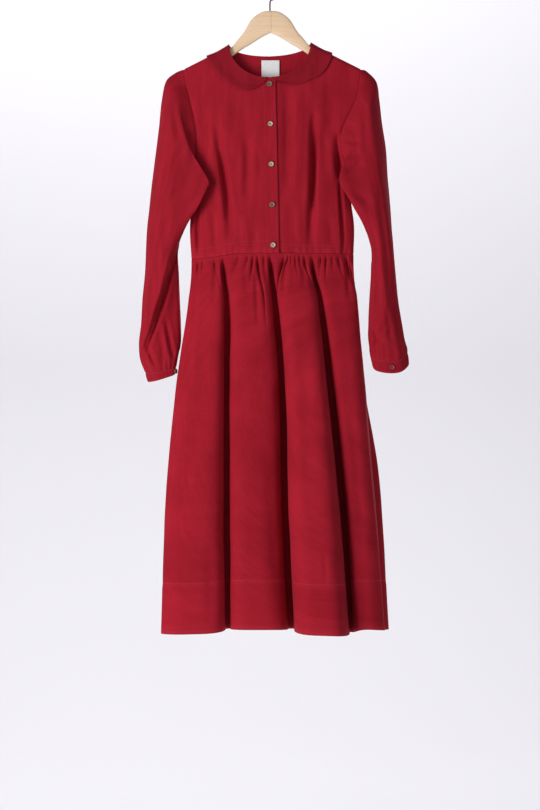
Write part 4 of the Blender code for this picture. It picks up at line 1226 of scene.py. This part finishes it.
def skirt_form(context, numbers, fallen, face):
    """Skirt cloth at gather numbers and distances below the waist: gathers that open into lobes."""
    dress = context.scene.dress_cloth
    sign, _ = FACES[face]
    hem = np.array(FRONT_HEM if face == "front" else BACK_HEM)
    hem_drop = curve_through(numbers, hem[:, 0], hem[:, 1] * MM)
    top = WAIST + SEAM_GAP / 2
    drop = top + fallen + (hem_drop - top - SKIRT_LENGTH) * (fallen / SKIRT_LENGTH) ** 3
    if face == "front":
        waist_x, lengths, depths = [
            np.interp(numbers, np.arange(GATHERS + 1), values)
            for values in (FRONT_GATHERS, FRONT_SLITS["length"], FRONT_SLITS["depth"])]
    else:
        waist_x = FRONT_GATHERS[-1] + (FRONT_GATHERS[0] - FRONT_GATHERS[-1]) * numbers / GATHERS
        waist_x = waist_x + 3 * MM * np.sin(2.4 * numbers) * ease(numbers) * ease(GATHERS - numbers)
        lengths = (44 + 26 * np.sin(numbers * 1.9 + 0.6) * np.sin(numbers * 0.7)) * MM
        depths = (3.4 + 1.2 * np.sin(numbers * 2.3)) * MM
    waist_y = sign * depth(waist_x, WAIST + 0 * waist_x, face)
    lobe_x, lobe_y = skirt_lobes(numbers, drop, face)
    share = ease((fallen - LOBE_START) / LOBE_BLEND)
    x = waist_x * (1 - share) + lobe_x * share
    y = waist_y * (1 - share) + lobe_y * share
    swell = ease((fallen - 1 * MM) / (3 * MM + 2.2 * depths)) * bell(fallen, lengths)
    swell = swell * ease(numbers / 1.2) * ease((GATHERS - numbers) / 1.2)
    slit = 1 - np.abs(np.sin(math.pi * numbers)) ** 0.5
    y = y + sign * swell * (dress.gathers * GATHER_CROWN * (1 - slit) - SLIT_DEPTH * depths * slit)
    if face == "front":
        begin, full, end = DEEP_PLEAT_RUN
        start = ease((fallen - begin) / full) * (1 - ease((fallen - end) / LOBE_BLEND))
        for number, deep, width in DEEP_PLEATS:
            y = y + deep * start * bell(numbers - number, width)
    drop = drop + waist_sag(x) * ease(1 - fallen / WAIST_SAG_REACH)
    return np.stack([x, y, -drop], axis=-1)


def skirt_surface(context, face):
    """Finished half of the skirt: its form, less its creases, with the doubled band at the hem."""
    dress = context.scene.dress_cloth
    sign, toward = FACES[face]
    numbers, fallen = np.meshgrid(SKIRT_NUMBERS, SKIRT_FALLEN)
    points = skirt_form(context, numbers, fallen, face)
    drop = -points[..., 2]
    side_calm = ease(numbers / SKIRT_SIDE_CALM) * ease((GATHERS - numbers) / SKIRT_SIDE_CALM)
    amount = -troughs(points[..., 0], drop, SKIRT_TROUGHS[face]) * dress.creases
    amount = amount * ease(fallen / (10 * MM))
    width = SKIRT_CUTS[face][0] / GATHERS
    amount = amount + unevenness(numbers * width, fallen, 3.0 if face == "front" else 4.0) * 0.8
    if face == "front":
        for number, widths in PLEAT_WIDENING:
            width = curve_through(drop, SKIRT_LEVELS, np.array(widths) * MM)
            amount = amount - width * bell(numbers - number, PLEAT_REACH)
    amount = amount * side_calm
    past_stitches = fallen - SKIRT_LENGTH + HEM_BAND
    amount = amount + HEM_RISE * ease((past_stitches - 0.5 * MM) / (2.5 * MM))
    amount = amount - HEM_DITCH * bell(past_stitches, 5 * MM)
    amount = amount - 0.2 * MM * bell(fallen, 2 * MM)
    points = pushed(points, amount, toward)
    if face == "back":
        bulge = numbers / SIDE_BULGE_PLACE * np.exp(1 - numbers / SIDE_BULGE_PLACE)
        points[..., 0] += SIDE_BULGE * bulge * ease((drop - SIDE_BULGE_TOP) / SIDE_BULGE_BLEND)
    else:
        edge = curve_through(drop, SKIRT_OVERLAP["drop"], SKIRT_OVERLAP["x"])
        step = ease((points[..., 0] - edge) / OVERLAP_EDGE)
        step = step * ease((drop - SKIRT_OVERLAP_TOP) / SKIRT_OVERLAP_BLEND)
        room = np.maximum(points[:, -1:, 1] - 1 * MM - points[..., 1], 0)
        points[..., 1] += np.minimum(SKIRT_OVERLAP_DEPTH * step, room)
    for column in (0, -1):
        edge = skirt_form(context, numbers[:, column][:, None], fallen[:, :1], face)
        points[:, column] = edge[:, 0]
        points[:, column, 1] += sign * SEAM_GAP / 2
    points[0, :, 2] = -(WAIST + SEAM_GAP / 2) - waist_sag(points[0, :, 0])
    worn = edge_worn(*points.shape[:2], first_row=0.3, last_row=1.0, first_column=0.4,
                     last_column=0.4)
    worn = np.clip(worn + 0.35 * bell(past_stitches, 4 * MM), 0, 1)
    # The front's chart narrows with its last pleat's width, so its streaks lean a little
    uv = np.stack([numbers * width, fallen], axis=-1)
    return {"points": points, "toward": toward, "uv": uv, "worn": worn}


def section(rows, samples):
    """Loop through one sleeve section's six points, at shares of its girth."""
    outer = np.stack([rows["outer"], rows["outer"] * 0, -rows["drop"]], axis=-1)
    fold = np.stack([rows["fold"], rows["fold_y"], -rows["fold_drop"]], axis=-1)
    under = np.stack([rows["under"], rows["under_y"], -rows["under_drop"]], axis=-1)
    front_outer = outer * 0.78 + fold * 0.22
    front_outer[:, 1] = rows["front"] * 0.86
    front_inner = outer * 0.32 + fold * 0.68
    front_inner[:, 1] = rows["front"]
    back = outer * 0.5 + under * 0.5
    back[:, 1] = rows["back"]
    stops = np.stack([outer, front_outer, front_inner, fold, under, back])
    shares = np.concatenate([SECTION_STOPS - 1, SECTION_STOPS, SECTION_STOPS + 1])
    loops = curve_through(samples, shares, np.concatenate([stops, stops, stops])).swapaxes(0, 1)
    loops[..., 2] += rows["lean"][:, None] * loops[..., 1]
    return loops


def armhole_loop(side, samples):
    """The panels' armhole edges as one loop, down the front to the underarm and up behind."""
    rows = np.linspace(1, UNDERARM_SHARE, 60)
    edges = []
    for face in ("front", "back"):
        x, run = panel(side, face, rows[::-1], np.array([0.0, 1.0]))
        edge = drape(x, run, face)[::-1, -1]
        edges.append(edge if face == "front" else edge[-2::-1])
    stations = np.concatenate([np.linspace(0, 0.5, 60), np.linspace(0.5, 1, 60)[1:]])
    return curve_through(samples, stations, np.concatenate(edges))


def stretched_loops(loops, steps):
    """Loops set closer along the sleeve: smooth curves through the same points of each loop."""
    gaps = np.linalg.norm(np.diff(loops, axis=0), axis=-1).mean(axis=1)
    stations = np.concatenate([[0], np.cumsum(gaps)])
    where = stations[-1] * np.sort(np.concatenate([np.linspace(0, 1, steps),
                                                   np.array([0.006, 0.012, 0.02])]))
    return curve_through(where, stations, loops), where


def tucked(points, along, tuck, run):
    """A tube with one more loop before its first, tucked under its neighbour."""
    return np.concatenate([tuck, points]), np.concatenate([[-run], along])


def tube_chart(girth, along):
    """UVs of a tube: round it and along it, in metres, with its first point repeated."""
    return np.stack(np.meshgrid(np.append(SLEEVE_SAMPLES, 1.0) * girth, along), axis=-1)


def sleeve_surface(context, side):
    """Finished sleeve: loops from the armhole to the cuff, less its creases before and behind."""
    dress = context.scene.dress_cloth
    name = SIDE_NAMES[side]
    loops = np.concatenate([armhole_loop(side, SLEEVE_SAMPLES)[None],
                            section(SLEEVES[name], SLEEVE_SAMPLES)])
    points, along = stretched_loops(loops, SLEEVE_STEPS)
    points[-1] = section(CUFFS[name], SLEEVE_SAMPLES)[0]
    to_cuff = along[-1] - along
    middle = points.mean(axis=1, keepdims=True)
    toward = points - middle
    x, y, drop = points[..., 0], points[..., 1], -points[..., 2]
    facing_front = ease((middle[..., 1] - y) / (8 * MM) + 0.5)
    ahead = troughs(x, drop, SLEEVE_TROUGHS[name]) * dress.creases
    if side < 0:
        edge = curve_through(drop, SLEEVE_OVERLAP["drop"], SLEEVE_OVERLAP["x"])
        start, end = SLEEVE_OVERLAP["drop"][[0, -1]]
        reach = ease((drop - start) / (14 * MM)) * ease((end - drop) / (90 * MM))
        ahead = ahead + OVERLAP_DEPTH * reach * ease((x - edge) / (3 * MM))
    behind = 0.8 * troughs(x + side * 9 * MM, drop + 14 * MM, SLEEVE_TROUGHS[name]) * dress.creases
    calm = (ease(along / ARMHOLE_CALM) * ease(to_cuff / CUFF_CALM))[:, None]
    wave = unevenness(SLEEVE_SAMPLES[None, :] * SLEEVE_GIRTH, along[:, None], 5.0 + side)
    tucks = np.sin(2 * math.pi * SLEEVE_SAMPLES * TUCK_COUNT + 2 * np.sin(SLEEVE_SAMPLES * 19))
    tuck_reach = (bell(to_cuff, TUCK_REACH) * ease(to_cuff / (3 * MM)))[:, None]
    ditches = 0.7 * MM * bell(to_cuff, 2 * MM) + SLEEVE_DITCH * bell(along, 3 * MM)
    amount = 0.7 * wave * calm + TUCK_HEIGHT * tucks[None, :] * tuck_reach - ditches[:, None]
    room_back = LAYER_SHARE * (y.max(axis=1, keepdims=True) - y) + 0.1 * MM
    room_front = LAYER_SHARE * (y - y.min(axis=1, keepdims=True)) + 0.1 * MM
    move = facing_front * room_back * (1 - fading(ahead * calm, room_back))
    move = move - (1 - facing_front) * room_front * (1 - fading(behind * calm, room_front))
    points = pushed(points, amount, toward, closed=True)
    points[..., 1] += move
    tuck = points[:1] - np.array([side * 5 * MM, 0, 0])
    tuck[..., 1] *= LAYER_SHARE
    points, along = tucked(points, along, tuck, 5 * MM)
    worn = 0.35 * fading(np.abs(along), 2 * MM) + 0.3 * fading(along[-1] - along, 2 * MM)
    return rings(points, uv=tube_chart(SLEEVE_GIRTH, along), worn=worn[:, None])


def cuff_surface(side):
    """Finished cuff: a flat doubled band with rounded edges."""
    loops = section(CUFFS[SIDE_NAMES[side]], SLEEVE_SAMPLES)
    points, along = stretched_loops(loops, CUFF_STEPS)
    share = along / along[-1]
    crown = CUFF_CROWN * (1 - (2 * share - 1) ** 6) - 0.3 * MM
    wave = unevenness(SLEEVE_SAMPLES[None, :] * CUFF_GIRTH, along[:, None], 7.0 + side)
    points = pushed(points, crown[:, None] + 0.25 * wave, outwards(points), closed=True)
    middle = points[:1].mean(axis=1, keepdims=True)
    tuck = middle + (points[:1] - middle) * 0.93 + np.array([0, 0, 3 * MM])
    points, along = tucked(points, along, tuck, 3 * MM)
    worn = 0.4 * fading(np.abs(along), 1 * MM) + 0.9 * fading(along[-1] - along, 1 * MM)
    return rings(points, uv=tube_chart(CUFF_GIRTH, along), worn=worn[:, None])


def collar_surface():
    """Finished collar: it rises round the neck, rolls over and lies flat, thicker at its edge."""
    halves = []
    charts = []
    for side, shape in COLLAR.items():
        across, angles = np.meshgrid(COLLAR_ACROSS, COLLAR_STEPS)
        radians = np.radians(angles)
        inner_x = side * NECK_HALF * np.cos(radians)
        inner_run = np.where(angles < 0, NECK_RUN_BACK, NECK_RUN_FRONT) * np.sin(radians)
        outer_x = curve_through(angles, COLLAR_ANGLES, shape["x"])
        outer_run = curve_through(angles, COLLAR_ANGLES, shape["run"])
        x = inner_x * (1 - across) + outer_x * across
        run = inner_run * (1 - across) + outer_run * across
        out = SEAM_GAP + CLOTH_WALL + COLLAR_ROLL * (1 - across) ** 3
        out = out + COLLAR_LIFT * ease((across - COLLAR_FLAT) / (1 - COLLAR_FLAT))
        wave = COLLAR_WAVE * np.sin(radians * 5 + side) * across ** 2
        out = out + wave * ease((1 - across) / 0.1)
        front = drape(x, np.abs(run), "front", out)
        back = drape(x, np.abs(run), "back", out)
        halves.append(np.where((run >= 0)[..., None], front, back))
        charts.append(np.stack([x, run], axis=-1))
    points = np.concatenate([halves[0][::-1], halves[1][1:]])
    uv = np.concatenate([charts[0][::-1], charts[1][1:]])
    worn = edge_worn(*points.shape[:2], last_column=0.25, first_column=0.2)
    toward = points * np.array([0.3, 1.0, 0.0]) + np.array([0.0, 0.0, 0.02])
    return {"points": points, "toward": toward, "uv": uv, "worn": worn}


class DRESS_OT_bodice(Operator):
    """Build the two fronts and the back of the bodice"""

    bl_idname = "dress.bodice"
    bl_label = "Bodice"

    def execute(self, context):
        wall = context.scene.dress_cloth.wall
        finish = finish_of(context, "linen")
        panels = {
            "front_right": [bodice_surface(context, -1, "front")],
            "front_left": [bodice_surface(context, 1, "front")],
            "back": [bodice_surface(context, side, "back") for side in (-1, 1)],
        }
        for name, surfaces in panels.items():
            piece = cloth("cloth_bodice_" + name, surfaces, finish, wall)
        return {"FINISHED"}


class DRESS_OT_skirt(Operator):
    """Build the gathered skirt's front and back"""

    bl_idname = "dress.skirt"
    bl_label = "Skirt"

    def execute(self, context):
        wall = context.scene.dress_cloth.wall
        for face in ("front", "back"):
            surface = skirt_surface(context, face)
            piece = cloth("cloth_skirt_" + face, [surface], finish_of(context, "linen"), wall)
        return {"FINISHED"}


class DRESS_OT_sleeves(Operator):
    """Build the sleeves and their cuffs"""

    bl_idname = "dress.sleeves"
    bl_label = "Sleeves and cuffs"

    def execute(self, context):
        wall = context.scene.dress_cloth.wall
        # The sleeves and cuffs carry painted shade: a dimmed copy of the linen
        finish = finish_of(context, "sleeve_linen")
        for side, name in SIDE_NAMES.items():
            piece = cloth("cloth_sleeve_" + name, [sleeve_surface(context, side)], finish, wall)
            cuff = cloth("cloth_cuff_" + name, [cuff_surface(side)], finish, CUFF_WALL)
        return {"FINISHED"}


class DRESS_OT_collar(Operator):
    """Build the flat collar with its rounded front ends"""

    bl_idname = "dress.collar"
    bl_label = "Collar"

    def execute(self, context):
        # The collar's linen carries painted shade: a dimmed copy of the dress's linen
        finish = finish_of(context, "doubled_linen")
        piece = cloth("cloth_collar", [collar_surface()], finish, COLLAR_WALL)
        return {"FINISHED"}


def button_places():
    """Middle, outward direction, up direction, radius and tone of each button."""
    places = {}
    spacing = (CENTRE_FOOT[1] - CENTRE_TOP[1]) / (len(BUTTON_TONES) - 1)
    for number, tone in enumerate(BUTTON_TONES):
        drop = CENTRE_TOP[1] + spacing * number
        x = centre_line(drop)
        around = drop + BUTTON_RADIUS * np.array([-1, 0, 1])
        above, middle, below = depth(np.full(3, x), around, "front")
        lean = math.atan2(above - below, 2 * BUTTON_RADIUS)
        outward = np.array([0.0, -math.cos(lean), -math.sin(lean)])
        places["button_front_" + str(number + 1)] = (
            np.array([x, -middle - BUTTON_SEAT, -drop]), outward, BUTTON_RADIUS, tone)
    for name, cuff in CUFFS.items():
        share = CUFF_BUTTON_SHARES[name]
        band = section(cuff, SLEEVE_SAMPLES)[1]
        before, middle, after = section(cuff, share + np.array([-0.03, 0, 0.03]))[1]
        tangent = after - before
        outward = np.array([tangent[1], -tangent[0], 0.0])
        outward /= np.linalg.norm(outward)
        outward *= np.sign(np.dot(outward, middle - band.mean(axis=0)))
        places["cuff_button_" + name] = (middle + outward * BUTTON_SEAT, outward,
                                         CUFF_BUTTON_RADIUS, CUFF_BUTTON_TONES[name])
    return places


class DRESS_OT_buttons(Operator):
    """Build the turned shell buttons with the thread that holds them"""

    bl_idname = "dress.buttons"
    bl_label = "Buttons"

    def execute(self, context):
        sides = context.scene.dress_trim.button_sides
        threads = []
        for name, (middle, outward, radius, tone) in button_places().items():
            over = np.cross(outward, np.array([0.0, 0.0, 1.0]))
            over /= np.linalg.norm(over)
            up = np.cross(over, outward)
            basis = np.stack([over, up, outward])
            profile = [(radius * reach, BUTTON_HEIGHT * height) for reach, height in BUTTON_PROFILE]
            smooth = curve_through(np.linspace(0, len(profile) - 1, 34),
                                   np.arange(len(profile)), np.array(profile))
            smooth[:, 0] = np.maximum(smooth[:, 0], 0)
            smooth[[0, -1], 0] = 0
            points = lathe(smooth, sides) @ basis + middle
            toward = points - (middle + outward * BUTTON_HEIGHT / 2)
            # Painted shadow: the tone falls towards the outer rim, so the rim takes the dark shell
            # colour
            tone = (tone - 1.1 * ease((smooth[:, 0] / radius - 0.72) / 0.14))[:, None]
            mesh = grid_mesh(name, [{"points": points, "toward": toward, "tone": tone,
                                     "closed": True}], ("tone",))
            finish = finish_of(context, "dyed_shell" if name == "cuff_button_left" else "shell")
            finish_piece("turned_" + name, mesh, finish, (name,))
            face = middle + outward * (BUTTON_HEIGHT * 0.6 + 0.1 * MM)
            spread = np.linspace(-1, 1, 9)[:, None]
            for shift in (-THREAD_SHIFT, THREAD_SHIFT):
                path = face + spread * over * THREAD_REACH + up * shift
                path = path + outward * THREAD_RISE * (1 - spread ** 2)
                grid = tube(path, THREAD_RADIUS * (1 - 0.5 * spread[:, 0] ** 4), 8)
                threads.append(rings(capped(grid)))
        # The thread's near black colour includes painted shade for the button holes, which are not
        # built
        mesh = grid_mesh("button_threads", threads)
        finish_piece("button_threads", mesh, finish_of(context, "dark_thread"))
        return {"FINISHED"}


class DRESS_OT_label(Operator):
    """Build the bare white label inside the back neck"""

    bl_idname = "dress.label"
    bl_label = "Label"

    def execute(self, context):
        x, drop = np.meshgrid(np.linspace(LABEL["left"], LABEL["right"], 26),
                              np.linspace(0, LABEL["height"], 30) + LABEL["top"])
        inside = depth(x, drop, "back") - CLOTH_WALL - SEAM_GAP
        curl = 0.5 * MM * np.sin((x - LABEL["left"]) * 90) * ease((drop - LABEL["top"]) / 0.03)
        points = np.stack([x, inside - LABEL_INSET - np.abs(curl), -drop], axis=-1)
        surface = {"points": points, "toward": FACES["front"][1], "worn": 0.0,
                   "uv": np.stack([x, drop], axis=-1)}
        piece = cloth("tape_label", [surface], finish_of(context, "label_tape"), LABEL_WALL,
                      ("label",))
        return {"FINISHED"}


class DRESS_OT_stitching(Operator):
    """Sew the visible rows of stitches"""

    bl_idname = "dress.stitching"
    bl_label = "Stitching"

    def execute(self, context):
        pitch = context.scene.dress_cloth.stitch
        finish = finish_of(context, "thread")
        for face in FACES:
            surface = skirt_surface(context, face)
            where = np.array([SKIRT_LENGTH - HEM_BAND])
            line = [curve_through(where, SKIRT_FALLEN, grid)[0, 4:-4]
                    for grid in (surface["points"], facing_of(surface))]
            stitches("stitches_hem_" + face, [line], finish, pitch, HEM_STITCH_RADIUS)
        lines = []
        for side, face in ((-1, "front"), (1, "front"), (-1, "back"), (1, "back")):
            surface = bodice_surface(context, side, face)
            points = surface["points"]
            facing = facing_of(surface)
            drop = -points[..., 2]
            row = np.argmin(np.abs(drop[:, 40] - (WAIST - WAIST_STITCH_RISE)))
            lines.append((points[row, 3:-3], facing[row, 3:-3]))
            if side < 0 and face == "front":
                target = centre_line(drop[:, 0]) - PLACKET_STITCH_INSET
                rows = np.arange(1, int(len(PANEL_ROWS) * 0.62))
                column = np.array([np.interp(-target[row], -points[row, :, 0],
                                             np.arange(points.shape[1])) for row in rows])
                low = np.floor(column).astype(int)
                part = (column - low)[:, None]
                path = points[rows, low] * (1 - part) + points[rows, low + 1] * part
                placket = (path, facing[rows, low])
        stitches("stitches_waist", lines, finish, pitch, STITCH_RADIUS)
        stitches("stitches_placket", [placket], finish, pitch, STITCH_RADIUS)
        bands = []
        for side in SIDE_NAMES:
            surface = cuff_surface(side)
            for row in (4, -4):
                bands.append([np.concatenate([grid[row], grid[row, :1]])
                              for grid in (surface["points"], facing_of(surface))])
        stitches("stitches_cuffs", bands, finish, pitch * 0.9, STITCH_RADIUS)
        return {"FINISHED"}


class DRESS_OT_hanger(Operator):
    """Build the wooden hanger and its wire hook"""

    bl_idname = "dress.hanger"
    bl_label = "Hanger"

    def execute(self, context):
        x = np.linspace(-HANGER_HALF, HANGER_HALF, 221)
        top = curve_through(np.abs(x), HANGER_PROFILE["x"], HANGER_PROFILE["top"])
        foot = curve_through(np.abs(x), HANGER_PROFILE["x"], HANGER_PROFILE["foot"])
        past = ((np.abs(x) - HANGER_HALF + HANGER_END) / HANGER_END).clip(0)
        end = np.sqrt(np.clip(1 - past ** 2, 0, 1))
        turn = circle(40)
        upright = rounded(np.cos(turn), HANGER_ROUNDING)
        thick = rounded(np.sin(turn), HANGER_ROUNDING)
        middle = -(top + foot) / 2
        half = (foot - top) / 2 * end
        points = np.stack([x[:, None] + 0 * turn, HANGER_THICKNESS * end[:, None] * thick,
                           middle[:, None] + half[:, None] * upright], axis=-1)
        cos, sin = math.cos(HANGER_TILT), math.sin(HANGER_TILT)
        points = points @ np.array([[cos, 0, sin], [0, 1, 0], [-sin, 0, cos]])
        mesh = grid_mesh("wood_hanger", [rings(points)])
        finish_piece("wood_hanger", mesh, finish_of(context, "wood"), ("hanger",))

        centre = WIRE_RADIUS - HOOK_RADIUS
        peak = HANGER_PROFILE["top"][0]
        angles = np.radians(np.linspace(*HOOK_TURN, 90))
        bend = np.stack([HOOK_RADIUS * np.cos(angles), 0 * angles,
                         centre + HOOK_RADIUS * np.sin(angles)], axis=-1)
        foot = centre - HOOK_RADIUS
        stem = np.array([[0, 0, -peak - 8 * MM], [0, 0, -peak], [0, 0, foot - HOOK_NECK],
                         [0.8 * MM, 0, foot - 2 * MM]])
        path = np.concatenate([stem, bend])
        lengths = along_path(path)
        path = curve_through(np.linspace(0, lengths[-1], 200), lengths, path)
        mesh = grid_mesh("wire_hook", [rings(capped(tube(path, WIRE_RADIUS, 20)))])
        finish_piece("wire_hook", mesh, finish_of(context, "steel"), ("hanger_hook",))
        return {"FINISHED"}


def area_light(name, power, size, place, target, colour):
    """A soft oblong light at a place, turned to its target."""
    lamp = bpy.data.lights.new(name, "AREA")
    lamp.energy = power
    lamp.shape = "RECTANGLE"
    lamp.size, lamp.size_y = size
    lamp.color = colour
    item = bpy.data.objects.new(name, lamp)
    bpy.context.scene.collection.objects.link(item)
    facing = np.array(target, dtype=float) - np.array(place, dtype=float)
    yaw = math.atan2(facing[0], facing[1])
    pitch = math.atan2(facing[2], math.hypot(facing[0], facing[1]))
    item.location = place
    item.rotation_euler = (math.pi / 2 + pitch, 0, -yaw)


class DRESS_OT_stage(Operator):
    """Build the pale wall and floor, the soft lights and the camera"""

    bl_idname = "dress.stage"
    bl_label = "Stage"

    def execute(self, context):
        stage = context.scene.dress_stage
        context.scene.view_settings.view_transform = "Standard"
        bend = np.radians(np.linspace(0, 90, 24))
        y = np.concatenate([[SWEEP_FRONT], WALL_Y - SWEEP_RADIUS * (1 - np.sin(bend)), [WALL_Y]])
        z = np.concatenate([[FLOOR_Z], FLOOR_Z + SWEEP_RADIUS * (1 - np.cos(bend)), [SWEEP_TOP]])
        x = np.linspace(-SWEEP_HALF, SWEEP_HALF, 5)
        points = np.stack(np.broadcast_arrays(x, y[:, None], z[:, None]), axis=-1)
        mesh = grid_mesh("backdrop", [{"points": points, "toward": np.array([0, -1.0, 1.0])}])
        mesh.materials.append(wall_finish("pale_wall", stage.backdrop))
        mesh.shade_smooth()
        backdrop = bpy.data.objects.new("backdrop", mesh)
        context.scene.collection.objects.link(backdrop)

        for name, *rest in LIGHTS:
            area_light(name + "_light", getattr(stage, name), *rest)
        world = bpy.data.worlds.new("studio")
        world.use_nodes = True
        sky = world.node_tree.nodes["Background"]
        sky.inputs["Color"].default_value = SKY_COLOUR
        sky.inputs["Strength"].default_value = SKY_STRENGTH
        context.scene.world = world

        lens = bpy.data.cameras.new("camera")
        lens.lens = stage.lens
        lens.sensor_width = 36
        camera = bpy.data.objects.new("camera", lens)
        camera.location = (0, -stage.distance, stage.height)
        camera.rotation_euler = (math.pi / 2, 0, 0)
        context.scene.collection.objects.link(camera)
        context.scene.camera = camera
        return {"FINISHED"}


class DRESS_PT_panel(Panel):
    """The dress's steps and settings"""

    bl_label = "Linen dress"
    bl_idname = "DRESS_PT_panel"
    bl_space_type = "VIEW_3D"
    bl_region_type = "UI"
    bl_category = "Dress"

    def draw(self, context):
        layout = self.layout
        scene = context.scene
        for group in (scene.dress_cloth, scene.dress_trim, scene.dress_stage):
            box = layout.box()
            for key in group.bl_rna.properties.keys():
                if key not in ("rna_type", "name"):
                    box.prop(group, key)
        for step in STEPS:
            layout.operator(step.bl_idname)


STEPS = (DRESS_OT_bodice, DRESS_OT_skirt, DRESS_OT_sleeves, DRESS_OT_collar, DRESS_OT_buttons,
         DRESS_OT_label, DRESS_OT_stitching, DRESS_OT_hanger, DRESS_OT_stage)
CLASSES = (ClothSettings, TrimSettings, StageSettings) + STEPS + (DRESS_PT_panel,)


def register():
    """Register the classes and put their settings on the scene."""
    for item in CLASSES:
        bpy.utils.register_class(item)
    bpy.types.Scene.dress_cloth = PointerProperty(type=ClothSettings)
    bpy.types.Scene.dress_trim = PointerProperty(type=TrimSettings)
    bpy.types.Scene.dress_stage = PointerProperty(type=StageSettings)


def unregister():
    """Take the settings and classes away again."""
    del bpy.types.Scene.dress_cloth
    del bpy.types.Scene.dress_trim
    del bpy.types.Scene.dress_stage
    for item in reversed(CLASSES):
        bpy.utils.unregister_class(item)


def main():
    """Build every piece in order."""
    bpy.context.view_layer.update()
    register()
    bpy.ops.dress.bodice()
    bpy.ops.dress.skirt()
    bpy.ops.dress.sleeves()
    bpy.ops.dress.collar()
    bpy.ops.dress.buttons()
    bpy.ops.dress.label()
    bpy.ops.dress.stitching()
    bpy.ops.dress.hanger()
    bpy.ops.dress.stage()


if __name__ == "__main__":
    main()
